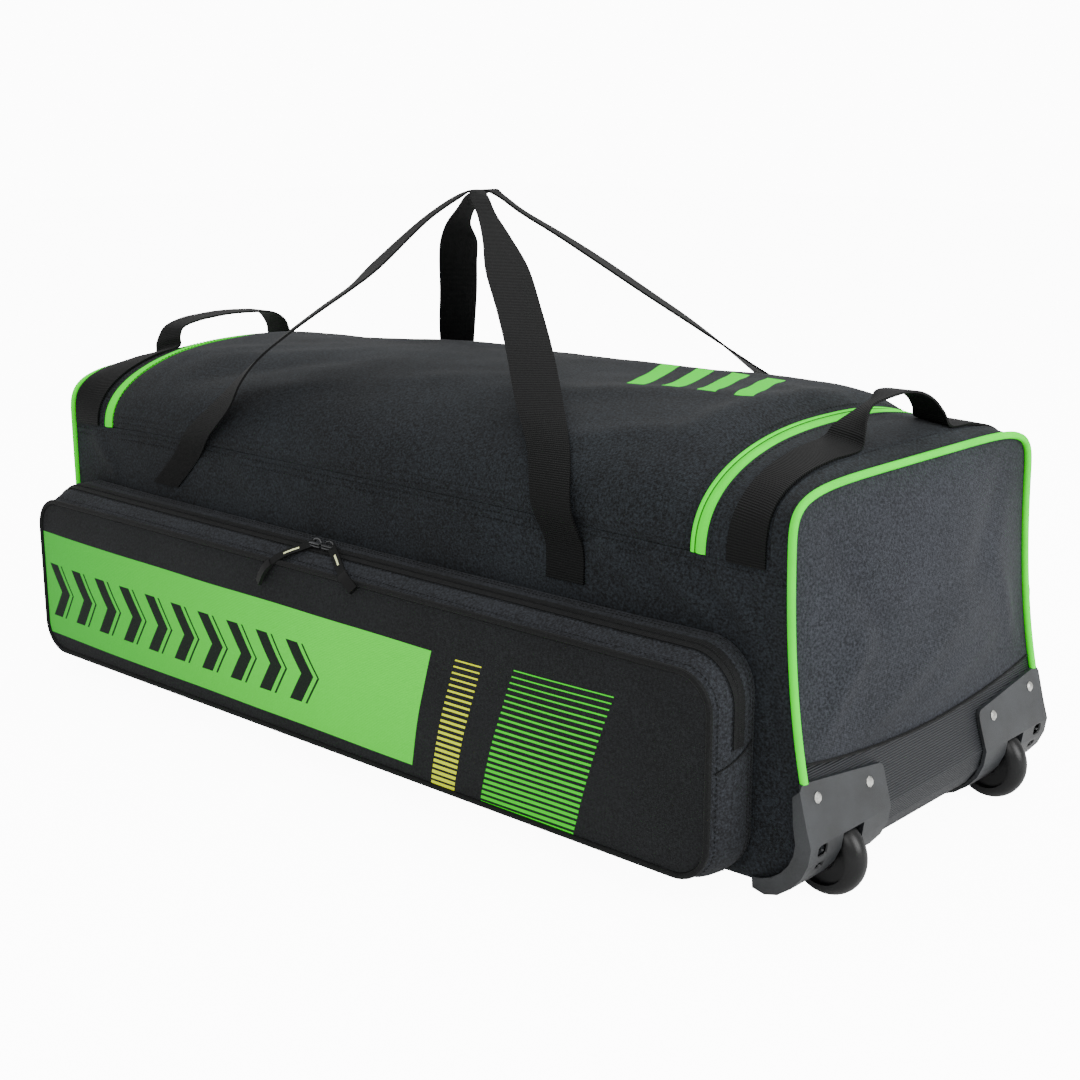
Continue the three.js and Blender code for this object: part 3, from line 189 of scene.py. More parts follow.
class Section:
    """One cross section of the body."""

    def __init__(self, place):
        at = place / LENGTH
        self.half = HALF * column_at(SECTIONS, 1, at)
        self.seam = SEAM * column_at(SECTIONS, 2, at)
        self.crown = SEAM + RISE * column_at(SECTIONS, 3, at)
        self.rise = self.crown - self.seam
        self.square = column_at(SECTIONS, 4, at)
        flat_start = FAR_END + FAR_CURVE
        self.low_x = self.high_x = place
        self.low_z = END_LIFT * (place - flat_start) / (CURVE_START - flat_start)
        if place > CURVE_START:
            turn = math.pi / 2 * (place - CURVE_START) / CURVE_LENGTH
            self.low_x = CURVE_START + CURVE_LENGTH * math.sin(turn)
            self.low_z = END_LIFT + CURVE_HEIGHT * (1 - math.cos(turn))
            self.high_x = CURVE_START + (CURVE_LENGTH - LEAN) * math.sin(turn)
        elif place < flat_start:
            turn = math.pi / 2 * (flat_start - place) / FAR_CURVE
            self.low_x = self.high_x = flat_start - FAR_CURVE * math.sin(turn)
            self.low_z = FAR_CURVE * (1 - math.cos(turn))


@functools.lru_cache(maxsize=None)
def section_at(place):
    return Section(place)


def in_section(section, y, z):
    share = clamp((z - section.low_z) / (section.crown - section.low_z))
    lean = 1 - (1 - share) ** 2.7
    return Vector((lerp(section.low_x, section.high_x, lean), y, z))


def base_point(place, across):
    section = section_at(place)
    return in_section(section, across * (section.half - EDGE), section.low_z)


def bulge(place, share):
    """How far a wall swells outwards, at a share of its height above the lower corner."""
    return WALL_BULGE * math.sin(math.pi * share) * math.sin(math.pi * (place / LENGTH + 0.5))


def wall_point(place, height, side):
    section = section_at(place)
    centre_y, centre_z = section.half - EDGE, section.low_z + EDGE
    if height < CORNER_SHARE:
        turn = math.pi / 2 * height / CORNER_SHARE
        y = centre_y + EDGE * math.sin(turn)
        return in_section(section, side * y, centre_z - EDGE * math.cos(turn))
    share = (height - CORNER_SHARE) / (1 - CORNER_SHARE)
    y = section.half + bulge(place, share)
    return in_section(section, side * y, lerp(centre_z, section.seam, share))


def dome(section, turn, inset=0):
    """Flat point of the lid's curve at a turn from the front seam, set in by a distance."""
    power = section.square
    reach = (abs(math.cos(turn)) ** power + abs(math.sin(turn)) ** power) ** (-1 / power)
    half, rise = section.half - inset, section.rise - inset
    return Vector((-half * math.cos(turn) * reach, section.seam + rise * math.sin(turn) * reach))


def lid_point(place, turn):
    section = section_at(place)
    return in_section(section, *dome(section, turn))


def lid_outward(place, turn):
    section = section_at(place)
    on = lid_point(place, turn)
    power = section.square - 1
    up = max(on.z - section.seam, 0) / section.rise
    y = math.copysign(abs(on.y / section.half) ** power / section.half, on.y)
    return Vector((0, y, up**power / section.rise)).normalized()


def turn_at_height(place, height):
    return math.asin(height / section_at(place).rise)


def turn_at_reach(place, y):
    low, high = 0.0, math.pi
    for _ in range(30):
        middle = (low + high) / 2
        if lid_point(place, middle).y < y:
            low = middle
        else:
            high = middle
    return low


def half_width_at(x, z):
    section = section_at(round(x, 2))
    drop = section.low_z + EDGE - z
    share = clamp(-drop / (section.seam - section.low_z - EDGE))
    if drop <= 0:
        return section.half + bulge(x, share)
    return section.half - EDGE + math.sqrt(max(EDGE**2 - drop**2, 0))


def lid_half_width_at(x, z):
    section = section_at(round(x, 2))
    up = clamp((z - section.seam) / section.rise)
    return section.half * (1 - up**section.square) ** (1 / section.square)


# Meshes


def piece(name, vertices, faces, material, uvs=None, smooth=45):
    """Object made from points in millimetres, with a UV map in metres if one is given."""
    mesh = bpy.data.meshes.new(name)
    points = [((v[0] + SHIFT) * MM, v[1] * MM, v[2] * MM) for v in vertices]
    mesh.from_pydata(points, [], faces)
    if uvs is not None:
        layer = mesh.uv_layers.new(name="cloth")
        for loop in mesh.loops:
            layer.data[loop.index].uv = uvs[loop.vertex_index]
    mesh.validate()
    box = bmesh.new()
    box.from_mesh(mesh)
    bmesh.ops.recalc_face_normals(box, faces=box.faces)
    box.to_mesh(mesh)
    box.free()
    mesh.shade_smooth()
    mesh.set_sharp_from_angle(angle=math.radians(smooth))
    mesh.materials.append(material)
    obj = placed(name, mesh)
    return obj


def settle(obj, nodes=(), body="bag"):
    """Says what a finished piece rides on, and hides the solids that it stands for."""
    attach(obj, body)
    for node in nodes:
        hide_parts(node)
    return obj


def grid_normals(points, closed, inside):
    """Directions out of a grid of points, away from a point inside it."""
    if closed:
        down = np.roll(points, -1, 0) - np.roll(points, 1, 0)
    else:
        down = np.gradient(points, axis=0)
    across = np.gradient(points, axis=1)
    normal = np.cross(down, across)
    normal /= np.maximum(np.linalg.norm(normal, axis=2, keepdims=True), 1e-9)
    facing = np.sum(normal * (points - np.array(inside, float)))
    return normal if facing > 0 else -normal


def sheet(name, grid, inner, outer, material, closed=False, inside=(0, 0, 136), shape=None):
    """Cloth between two offsets from a grid of points. shape moves a point along its normal."""
    points = np.array([[tuple(p) for p in row] for row in grid], float)
    normals = grid_normals(points, closed, inside)
    if shape:
        for i in range(points.shape[0]):
            for j in range(points.shape[1]):
                move = shape(Vector(points[i, j]), i, j)
                points[i, j] += normals[i, j] * move
        normals = grid_normals(points, closed, inside)
    rows, columns = points.shape[:2]
    down = np.linalg.norm(np.diff(points, axis=0), axis=2).mean(1)
    across = np.linalg.norm(np.diff(points, axis=1), axis=2).mean(0)
    u = np.concatenate([[0], np.cumsum(down)]) * MM
    v = np.concatenate([[0], np.cumsum(across)]) * MM
    v = v - v[-1] / 2
    vertices, uvs = [], []
    for offset in (inner, outer):
        moved = points + normals * offset
        vertices.extend(moved.reshape(-1, 3).tolist())
        uvs.extend((u[i], v[j]) for i in range(rows) for j in range(columns))
    size = rows * columns

    def at(side, i, j):
        return side * size + (i % rows) * columns + j

    faces = []
    for i in range(rows if closed else rows - 1):
        for j in range(columns - 1):
            faces.append((at(0, i, j), at(0, i, j + 1), at(0, i + 1, j + 1), at(0, i + 1, j)))
            faces.append((at(1, i, j), at(1, i + 1, j), at(1, i + 1, j + 1), at(1, i, j + 1)))
        end = columns - 1
        faces.append((at(0, i, 0), at(0, i + 1, 0), at(1, i + 1, 0), at(1, i, 0)))
        faces.append((at(0, i, end), at(1, i, end), at(1, i + 1, end), at(0, i + 1, end)))
    if not closed:
        end = rows - 1
        for j in range(columns - 1):
            faces.append((at(0, 0, j), at(1, 0, j), at(1, 0, j + 1), at(0, 0, j + 1)))
            faces.append((at(0, end, j), at(0, end, j + 1), at(1, end, j + 1), at(1, end, j)))
    return piece(name, vertices, faces, material, uvs)


def placed(name, data):
    """An object that holds the data, in the scene."""
    obj = bpy.data.objects.new(name, data)
    bpy.context.scene.collection.objects.link(obj)
    return obj


def evaluated(obj):
    """The object's mesh with its modifiers worked in."""
    return bpy.data.meshes.new_from_object(obj.evaluated_get(bpy.context.evaluated_depsgraph_get()))


def cord(name, points, radius, sides, material, closed=False):
    """Round cord along a list of points, with flat ends or joined up."""
    count = len(points)
    vertices, uvs, faces = [], [], []
    side = Vector((1, 0, 0))
    run = 0.0
    for i in range(count):
        ahead = points[(i + 1) % count] if closed else points[min(i + 1, count - 1)]
        behind = points[i - 1] if closed else points[max(i - 1, 0)]
        tangent = (ahead - behind).normalized()
        if abs(tangent.dot(side)) > 0.95:
            side = Vector((0, 0, 1))
        side = (side - tangent * side.dot(tangent)).normalized()
        other = tangent.cross(side)
        run += (points[i] - points[i - 1]).length if i else 0
        for k in range(sides):
            turn = 2 * math.pi * k / sides
            vertices.append(points[i] + (side * math.cos(turn) + other * math.sin(turn)) * radius)
            uvs.append((run * MM, k / sides * radius * 6.28 * MM))
    for i in range(count if closed else count - 1):
        for k in range(sides):
            a, b = (i % count) * sides, ((i + 1) % count) * sides
            faces.append((a + k, a + (k + 1) % sides, b + (k + 1) % sides, b + k))
    if not closed:
        faces.append(tuple(range(sides - 1, -1, -1)))
        faces.append(tuple((count - 1) * sides + k for k in range(sides)))
    return piece(name, vertices, faces, material, uvs)


def lathe(name, profile, sides, place, material, axis="Y"):
    """Round piece from a closed profile of (radius, height), turned about an axis."""
    vertices, faces, uvs = [], [], []
    count = len(profile)
    for k in range(sides):
        turn = 2 * math.pi * k / sides
        for r, h in profile:
            r = max(r, 0.02)
            if axis == "Y":
                point = Vector((r * math.cos(turn), h, r * math.sin(turn)))
            else:
                point = Vector((h, r * math.cos(turn), r * math.sin(turn)))
            vertices.append(point + Vector(place))
            uvs.append((k / sides * 0.2, h * MM))
    for k in range(sides):
        for i in range(count):
            a, b = k * count, ((k + 1) % sides) * count
            j = (i + 1) % count
            faces.append((a + i, a + j, b + j, b + i))
    return piece(name, vertices, faces, material, uvs, smooth=35)


def smooth_rows(rows, factor):
    """More rows between the given ones, on smooth curves through them."""
    table = np.array([[tuple(p) for p in row] for row in rows], float)
    out = []
    last = len(table) - 1
    for i in range(last):
        p0, p1 = table[max(i - 1, 0)], table[i]
        p2, p3 = table[i + 1], table[min(i + 2, last)]
        slope, bend, twist = p2 - p0, 2 * p0 - 5 * p1 + 4 * p2 - p3, 3 * p1 - p0 - 3 * p2 + p3
        for s in range(factor):
            t = s / factor
            out.append(0.5 * (2 * p1 + slope * t + bend * t**2 + twist * t**3))
    out.append(table[last])
    return out


# Materials


def linear(code):
    """Linear colour from an sRGB hex value."""
    values = [int(code[i : i + 2], 16) / 255 for i in (1, 3, 5)]
    return tuple(v / 12.92 if v <= 0.04045 else ((v + 0.055) / 1.055) ** 2.4 for v in values)


def colour(code):
    return (*linear(code), 1.0)


def put(tree, kind, settings=None, **sockets):
    """Adds a node with its settings. A socket's value is a number, a colour or another socket."""
    made = tree.nodes.new(kind)
    for key, value in (settings or {}).items():
        setattr(made, key, value)
    for key, value in sockets.items():
        target = made.inputs[int(key[1:])] if key[0] == "i" and key[1:].isdigit() else None
        target = target or made.inputs[key.replace("_", " ")]
        if isinstance(value, bpy.types.NodeSocket):
            tree.links.new(value, target)
        else:
            target.default_value = value
    return made


def maths(tree, operation, *values, clamped=False):
    sockets = {f"i{k}": value for k, value in enumerate(values)}
    return put(tree, "ShaderNodeMath", {"operation": operation, "use_clamp": clamped}, **sockets).outputs[0]


def mix_colours(tree, share, first, second):
    made = tree.nodes.new("ShaderNodeMix")
    made.data_type = "RGBA"
    for index, value in ((0, share), (6, first), (7, second)):
        if isinstance(value, bpy.types.NodeSocket):
            tree.links.new(value, made.inputs[index])
        else:
            made.inputs[index].default_value = value
    return made.outputs[2]


def new_material(name, roughness, metallic=0.0, sheen=0.0, gloss=0.5):
    material = bpy.data.materials.new(name)
    material.use_nodes = True
    tree = material.node_tree
    shader = tree.nodes["Principled BSDF"]
    shader.inputs["Roughness"].default_value = roughness
    shader.inputs["Metallic"].default_value = metallic
    shader.inputs["Sheen Weight"].default_value = sheen
    shader.inputs["Sheen Roughness"].default_value = 0.5
    shader.inputs["Specular IOR Level"].default_value = gloss
    return material, tree, shader


def wave(tree, value, period):
    """Wave from 0 to 1 along a coordinate in metres, with its period in millimetres."""
    turned = maths(tree, "MULTIPLY", value, 2 * math.pi / (period * MM))
    return maths(tree, "MULTIPLY_ADD", maths(tree, "SINE", turned), 0.5, 0.5)


def speckled(tree, scale, detail):
    """Noise over the object's own coordinates."""
    place = put(tree, "ShaderNodeTexCoord").outputs["Object"]
    return put(tree, "ShaderNodeTexNoise", None, Vector=place, Scale=scale, Detail=detail).outputs[0]


def parts_of(tree, space):
    """The separate coordinates of a shading point, as a node."""
    place = put(tree, "ShaderNodeTexCoord").outputs[space]
    return put(tree, "ShaderNodeSeparateXYZ", None, Vector=place)


def mottle(tree, dark, light, scale):
    """Colour that wanders between two tones over the object's own coordinates."""
    ramp = put(tree, "ShaderNodeMapRange", None, Value=speckled(tree, scale, 3.0))
    ramp.inputs["From Min"].default_value = 0.35
    ramp.inputs["From Max"].default_value = 0.65
    return mix_colours(tree, ramp.outputs[0], colour(dark), colour(light))


def woven(tree, period):
    """Height of a plain weave: over and under threads in two directions."""
    parts = parts_of(tree, "UV")
    along = wave(tree, parts.outputs[0], period)
    across = wave(tree, parts.outputs[1], period)
    return maths(tree, "MULTIPLY", along, across), parts


def bump(tree, shader, height, distance, strength):
    made = put(tree, "ShaderNodeBump", None, Strength=strength, Distance=distance * MM, Height=height)
    tree.links.new(made.outputs[0], shader.inputs["Normal"])


def polyester_cloth(name, dark, light, roughness=0.78):
    # 600 denier polyester, plain woven and coated on the back: matt, a faint speckle of thread
    # crossings and a soft sheen at grazing angles. The real threads are 0.5 mm apart, drawn at
    # 1.5 mm so that they show. The gaps between the threads swallow most of the shine.
    material, tree, shader = new_material(name, roughness, sheen=0.03, gloss=0.16)
    threads = woven(tree, 1.5)[0]
    speckle = speckled(tree, 520.0, 2.0)
    wide = speckled(tree, 9.0, 3.0)
    share = maths(tree, "MULTIPLY_ADD", speckle, 2.6, -0.95)
    share = maths(tree, "SUBTRACT", share, 0.3)
    share = maths(tree, "MULTIPLY_ADD", wide, 0.7, share, clamped=True)
    tone = mix_colours(tree, share, colour(dark), colour(light))
    tree.links.new(tone, shader.inputs["Base Color"])
    height = maths(tree, "MULTIPLY_ADD", speckle, 0.8, threads)
    bump(tree, shader, height, 0.25, 0.8)
    return material


def ribbed_webbing(name, dark, light):
    # Polypropylene webbing, 40 mm wide and ribbed across: satin black ridges with a painted
    # highlight along their tops, where the colour is lighter than in the grooves between them.
    material, tree, shader = new_material(name, 0.58, sheen=0.01, gloss=0.12)
    parts = parts_of(tree, "UV")
    ribs = wave(tree, parts.outputs[0], 2.1)
    threads = wave(tree, parts.outputs[1], 1.6)
    height = maths(tree, "MULTIPLY_ADD", threads, 0.25, ribs)
    # Painted highlight and shade: the colour follows the rib height, light on the tops and dark in the
    # grooves.
    tree.links.new(mix_colours(tree, ribs, colour(dark), colour(light)), shader.inputs["Base Color"])
    bump(tree, shader, height, 0.45, 0.8)
    return material


def neon_tape(name, dark, light, coil=False):
    # Fluorescent polyester tape: far brighter than the black cloth, with a fine tight weave and
    # a faint painted glow, an emission of its bright tone. On the zips a dark line shows where the hidden
    # coil closes.
    material, tree, shader = new_material(name, 0.62, gloss=0.15)
    # Painted glow: the tape emits its bright tone whatever light falls on it.
    shader.inputs["Emission Color"].default_value = colour(light)
    shader.inputs["Emission Strength"].default_value = 0.16
    threads, parts = woven(tree, 1.1)
    tone = mix_colours(tree, speckled(tree, 30.0, 3.0), colour(dark), colour(light))
    if coil:
        away = maths(tree, "ABSOLUTE", parts.outputs[0])
        inside = maths(tree, "LESS_THAN", away, 0.55 * MM)
        tone = mix_colours(tree, inside, tone, colour("#0f3d08"))
    tree.links.new(tone, shader.inputs["Base Color"])
    bump(tree, shader, threads, 0.12, 0.4)
    return material


def moulded_plastic(name, dark, light, roughness, grain, depth, gloss=0.5):
    # Injection moulded polypropylene with a fine spark-eroded grain, greyer where it is rubbed.
    material, tree, shader = new_material(name, roughness, gloss=gloss)
    pits = speckled(tree, grain, 4.0)
    tree.links.new(mottle(tree, dark, light, 35.0), shader.inputs["Base Color"])
    bump(tree, shader, pits, depth, 0.5)
    return material


def plated_steel(name, base):
    # Zinc plated steel: bright, slightly clouded, with light scratches.
    material, tree, shader = new_material(name, 0.32, metallic=1.0)
    tree.links.new(mottle(tree, base, "#e2e2dd", 160.0), shader.inputs["Base Color"])
    rough = put(tree, "ShaderNodeMapRange", None, Value=speckled(tree, 400.0, 2.0))
    rough.inputs["To Min"].default_value = 0.22
    rough.inputs["To Max"].default_value = 0.42
    tree.links.new(rough.outputs[0], shader.inputs["Roughness"])
    return material


def scuff_fabric(name, dark, light):
    # Coated scuff cloth with fine ribs that run across the bag, 2 mm apart.
    material, tree, shader = new_material(name, 0.5, gloss=0.3)
    ribs = wave(tree, parts_of(tree, "UV").outputs[0], 2.0)
    # Painted highlight and shade: the colour follows the rib height, lighter on the ribs' tops and darker in
    # the grooves.
    tree.links.new(mix_colours(tree, ribs, colour(dark), colour(light)), shader.inputs["Base Color"])
    bump(tree, shader, ribs, 0.6, 0.9)
    return material


def window(tree, value, low, high):
    """1 where a value lies between two limits, which may be sockets."""
    above = maths(tree, "GREATER_THAN", value, low)
    below = maths(tree, "LESS_THAN", value, high)
    return maths(tree, "MULTIPLY", above, below)


def slanted(tree, z, low_x, high_x, low_z, high_z):
    """Place of a slanted edge at height z, in metres, through two points in millimetres."""
    slope = (high_x - low_x) / (high_z - low_z)
    return maths(tree, "MULTIPLY_ADD", z, slope, (low_x + SHIFT - slope * low_z) * MM)


def bar_field(tree, x, z, left, right, bottom, top, count, thin, thick):
    """Bars between two slanted edges, thinner towards the top."""
    edge_left = slanted(tree, z, *left)
    edge_right = slanted(tree, z, *right)
    inside = window(tree, x, edge_left, edge_right)
    tilt = maths(tree, "MULTIPLY_ADD", x, -0.012, z)
    up = maths(tree, "MULTIPLY_ADD", tilt, 1 / ((top - bottom) * MM), -bottom / (top - bottom))
    bars = maths(tree, "FRACT", maths(tree, "MULTIPLY", up, count))
    share = maths(tree, "MULTIPLY_ADD", up, thin - thick, thick)
    lit = maths(tree, "MULTIPLY", inside, maths(tree, "LESS_THAN", bars, share))
    return maths(tree, "MULTIPLY", lit, window(tree, up, 0.0, 1.0))


def printed_cloth(name, dark, light, looks):
    # The pocket's face: the black cloth with a screen printed neon panel, a plain row of
    # chevrons on it, and two fields of bars.
    material = polyester_cloth(name, dark, light)
    tree = material.node_tree
    shader = tree.nodes["Principled BSDF"]
    cloth = shader.inputs["Base Color"].links[0].from_socket
    parts = parts_of(tree, "Object")
    x, z = parts.outputs[0], parts.outputs[2]
    right = slanted(tree, z, 100, 129, 38.5, 150)
    top = maths(tree, "MULTIPLY_ADD", x, -0.007, 0.1515)
    low = maths(tree, "MULTIPLY_ADD", x, -0.006, 0.0405)
    panel = maths(tree, "MULTIPLY", maths(tree, "LESS_THAN", x, right), window(tree, z, low, top))
    panel = maths(tree, "MULTIPLY", panel, maths(tree, "GREATER_THAN", x, (-474 + SHIFT) * MM))
    far = put(tree, "ShaderNodeMapRange", None, Value=x)
    far.inputs["From Min"].default_value = -0.47
    far.inputs["From Max"].default_value = 0.0
    ink = mix_colours(tree, far.outputs[0], colour(looks.print_green_far), colour(looks.print_green))
    # Chevrons: thin dark lines that bend at the middle of the panel.
    bend = maths(tree, "ABSOLUTE", maths(tree, "SUBTRACT", z, 0.093))
    lean = maths(tree, "MULTIPLY_ADD", bend, 0.7, x)
    run = maths(tree, "FRACT", maths(tree, "DIVIDE", maths(tree, "ADD", lean, 0.44), 0.044))
    thin = window(tree, run, 0.5, 0.56)
    line = maths(tree, "MAXIMUM", maths(tree, "LESS_THAN", run, 0.38), thin)
    field = maths(tree, "MULTIPLY", window(tree, z, 0.064, 0.122), window(tree, lean, -0.44, 0.0))
    chevron = maths(tree, "MULTIPLY", line, field)
    ink = mix_colours(tree, chevron, ink, colour("#0d1a10"))
    yellow = bar_field(tree, x, z, (121, 158, 27, 151), (149, 188, 27, 151), 27, 152, 22, 0.2, 0.62)
    green = bar_field(tree, x, z, (179, 224, 24, 156), (282, 327, 24, 156), 24, 157, 24, 0.18, 0.6)
    tone = mix_colours(tree, panel, cloth, ink)
    tone = mix_colours(tree, yellow, tone, colour(looks.bar_yellow))
    tone = mix_colours(tree, green, tone, colour(looks.bar_green))
    tree.links.new(tone, shader.inputs["Base Color"])
    return material


def lid_cloth(name, dark, light, mark):
    # The lid's cloth with a plain mark of four slanted bars, printed near the wheel end.
    material = polyester_cloth(name, dark, light)
    tree = material.node_tree
    shader = tree.nodes["Principled BSDF"]
    cloth = shader.inputs["Base Color"].links[0].from_socket
    parts = parts_of(tree, "Object")
    x, y = parts.outputs[0], parts.outputs[1]
    lean = maths(tree, "MULTIPLY_ADD", y, 0.35, x)
    run = maths(tree, "FRACT", maths(tree, "DIVIDE", maths(tree, "SUBTRACT", lean, 0.165), 0.038))
    bars = maths(tree, "LESS_THAN", run, 0.5)
    field = maths(tree, "MULTIPLY", window(tree, lean, 0.165, 0.304), window(tree, y, -0.052, 0.045))
    above = maths(tree, "GREATER_THAN", parts.outputs[2], 0.3)
    shown = maths(tree, "MULTIPLY", maths(tree, "MULTIPLY", bars, field), above)
    tree.links.new(mix_colours(tree, shown, cloth, colour(mark)), shader.inputs["Base Color"])
    return material


def striped_cord(name):
    # Flat woven pull cord, black with one cream stripe along it and a moulded rubber end.
    material, tree, shader = new_material(name, 0.7, gloss=0.2)
    parts = parts_of(tree, "UV")
    away = maths(tree, "ABSOLUTE", parts.outputs[1])
    stripe = window(tree, away, 0.0, 0.9 * MM)
    stripe = maths(tree, "MULTIPLY", stripe, window(tree, parts.outputs[0], 17 * MM, 33 * MM))
    tone = mix_colours(tree, stripe, colour("#060707"), colour("#e3e8b4"))
    tree.links.new(tone, shader.inputs["Base Color"])
    bump(tree, shader, wave(tree, parts.outputs[0], 1.5), 0.2, 0.6)
    return material


MATERIALS = {}


def finish(name):
    return MATERIALS[name]


def make_materials(looks):
    MATERIALS.update(
        body=polyester_cloth("black_polyester_cloth", looks.cloth_dark, looks.cloth_light),
        lid=lid_cloth("lid_polyester_cloth", looks.cloth_dark, looks.cloth_light, looks.bar_green),
        # Painted light: the end panels get lighter tones than the same black cloth on the body, for the light
        # that falls on the ends.
        end=polyester_cloth("end_cloth_painted_lighter", "#191b1f", "#35383e"),
        pocket=printed_cloth("printed_pocket_cloth", "#0d0e0f", "#1e2022", looks),
        webbing=ribbed_webbing("ribbed_black_webbing", "#010101", "#101111"),
        trim=polyester_cloth("black_binding_tape", "#070808", "#121314", 0.7),
        neon=neon_tape("neon_green_tape", looks.neon_dark, looks.neon),
        neon_zip=neon_tape("neon_green_zip_tape", looks.neon_dark, looks.neon, coil=True),
        scuff=scuff_fabric("ribbed_scuff_cloth", "#0a0b0d", "#2a2d31"),
        housing=moulded_plastic("grained_housing_plastic", "#181a1c", "#25282b", 0.46, 1800.0, 0.2),
        wheel=moulded_plastic("smooth_wheel_plastic", "#040405", "#090a0b", 0.36, 500.0, 0.05, 0.3),
        steel=plated_steel("zinc_plated_steel", "#a9a9a4"),
        slider=moulded_plastic("gunmetal_zip_slider", "#2a2b2c", "#4c4d4f", 0.3, 300.0, 0.05),
        cord=striped_cord("striped_pull_cord"),
        rubber=moulded_plastic("moulded_rubber_end", "#030303", "#070708", 0.5, 900.0, 0.1, 0.2),
        thread=polyester_cloth("black_sewing_thread", "#08090a", "#141516", 0.6),
        # Painted light: the gussets get lighter tones than the body's cloth, for the light on the pockets'
        # tops; the back pocket's face uses this cloth too.
        pocket_side=polyester_cloth("pocket_cloth_painted_lighter", "#141517", "#2e3136"),
    )


# Stitches and zip teeth


def stitch_tree():
    """Small rounded lengths set out along a line of points, each lying on its surface."""
    tree = bpy.data.node_groups.new("set_out_along_seam", "GeometryNodeTree")
    face = tree.interface
    face.new_socket("Geometry", in_out="INPUT", socket_type="NodeSocketGeometry")
    for name, value in (("Spacing", 0.004), ("Length", 0.003), ("Width", 0.0008), ("Height", 0.0006)):
        socket = face.new_socket(name, in_out="INPUT", socket_type="NodeSocketFloat")
        socket.default_value = value
    face.new_socket("Material", in_out="INPUT", socket_type="NodeSocketMaterial")
    face.new_socket("Geometry", in_out="OUTPUT", socket_type="NodeSocketGeometry")
    start = tree.nodes.new("NodeGroupInput").outputs
    up = put(tree, "GeometryNodeInputNamedAttribute", {"data_type": "FLOAT_VECTOR"}, Name="up")
    line = put(tree, "GeometryNodeMeshToCurve", None, Mesh=start["Geometry"])
    even = put(
        tree,
        "GeometryNodeResampleCurve",
        {"mode": "LENGTH"},
        Curve=line.outputs[0],
        Length=start["Spacing"],
    )
    bead = put(tree, "GeometryNodeMeshUVSphere", None, Segments=6, Rings=4, Radius=0.5)
    size = put(tree, "ShaderNodeCombineXYZ", None, X=start["Length"], Y=start["Width"], Z=start["Height"])
    tangent = tree.nodes.new("GeometryNodeInputTangent")
    turn = put(tree, "FunctionNodeAlignRotationToVector", {"axis": "X"}, Vector=tangent.outputs[0])
    flat = put(
        tree,
        "FunctionNodeAlignRotationToVector",
        {"axis": "Z", "pivot_axis": "X"},
        Rotation=turn.outputs[0],
        Vector=up.outputs["Attribute"],
    )
    set_out = put(
        tree,
        "GeometryNodeInstanceOnPoints",
        None,
        Points=even.outputs[0],
        Instance=bead.outputs[0],
        Rotation=flat.outputs[0],
        Scale=size.outputs[0],
    )
    real = put(tree, "GeometryNodeRealizeInstances", None, Geometry=set_out.outputs[0])
    last = put(tree, "GeometryNodeSetMaterial", None, Geometry=real.outputs[0], Material=start["Material"])
    end = tree.nodes.new("NodeGroupOutput")
    tree.links.new(last.outputs[0], end.inputs[0])
    return tree


def set_out_along(name, lines, tree, material, spacing, length, width, height):
    """Runs the seam tree over lines of (point, outward) and keeps the result as a plain mesh."""
    mesh = bpy.data.meshes.new(name + "_lines")
    points, edges, ups = [], [], []
    for line in lines:
        first = len(points)
        for point, outward in line:
            points.append(((point.x + SHIFT) * MM, point.y * MM, point.z * MM))
            ups.append(outward)
        edges.extend((k, k + 1) for k in range(first, len(points) - 1))
    mesh.from_pydata(points, edges, [])
    layer = mesh.attributes.new("up", "FLOAT_VECTOR", "POINT")
    for item, outward in zip(layer.data, ups):
        item.vector = outward
    source = placed(name + "_lines", mesh)
    modifier = source.modifiers.new("Seam", "NODES")
    modifier.node_group = tree
    wanted = {"Spacing": spacing, "Length": length, "Width": width, "Height": height}
    for item in tree.interface.items_tree:
        if item.in_out == "INPUT" and item.name in wanted:
            modifier[item.identifier] = wanted[item.name] * MM
        if item.in_out == "INPUT" and item.name == "Material":
            modifier[item.identifier] = material
    made = evaluated(source)
    made.name = name
    source.modifiers.remove(modifier)
    bpy.data.objects.remove(source)
    if "up" in made.attributes:
        made.attributes.remove(made.attributes["up"])
    made.shade_smooth()
    return placed(name, made)


# Folds


def wander(point, size, seed):
    """Smooth value from -1 to 1 that changes over a size in millimetres."""
    return noise.noise(Vector((point.x / size[0] + seed, point.y / size[1], point.z / size[2])))


def ridge(a, b, line, width):
    """Height of a soft fold along a line between two points of a plane."""
    (x0, y0), (x1, y1) = line
    dx, dy = x1 - x0, y1 - y0
    along = ((a - x0) * dx + (b - y0) * dy) / (dx * dx + dy * dy)
    away = abs((a - x0) * dy - (b - y0) * dx) / math.hypot(dx, dy)
    ends = math.sin(math.pi * clamp(along)) ** 0.7 if 0 < along < 1 else 0
    return math.exp(-((away / width) ** 2)) * ends


# Body, lid and ends


def places_between(start, end, gap):
    count = max(2, round((end - start) / gap))
    return [lerp(start, end, share) for share in steps(count)]


def pocket_shift(side):
    """How far a side's pocket stands towards the wheels."""
    return 0 if side < 0 else BACK_POCKET_SHIFT


def band_edge(across):
    """Height of the scuff band's upper edge, which dips in the middle."""
    return lerp(105, 120, across * across)


# Every fold is a line on the cloth, the fold's half width and its height.
WALL_FOLDS = (
    (((262, 262), (345, 212)), 8, 2.4),
    (((318, 264), (392, 210)), 8, 3.4),
    (((356, 264), (430, 190)), 7, -2.4),
    (((385, 258), (462, 150)), 8, 3.0),
    (((428, 240), (445, 120)), 7, -2.0),
    (((-440, 262), (-380, 212)), 9, 1.8),
    (((-200, 262), (-120, 215)), 12, 1.4),
    (((40, 262), (140, 215)), 12, 1.5),
)


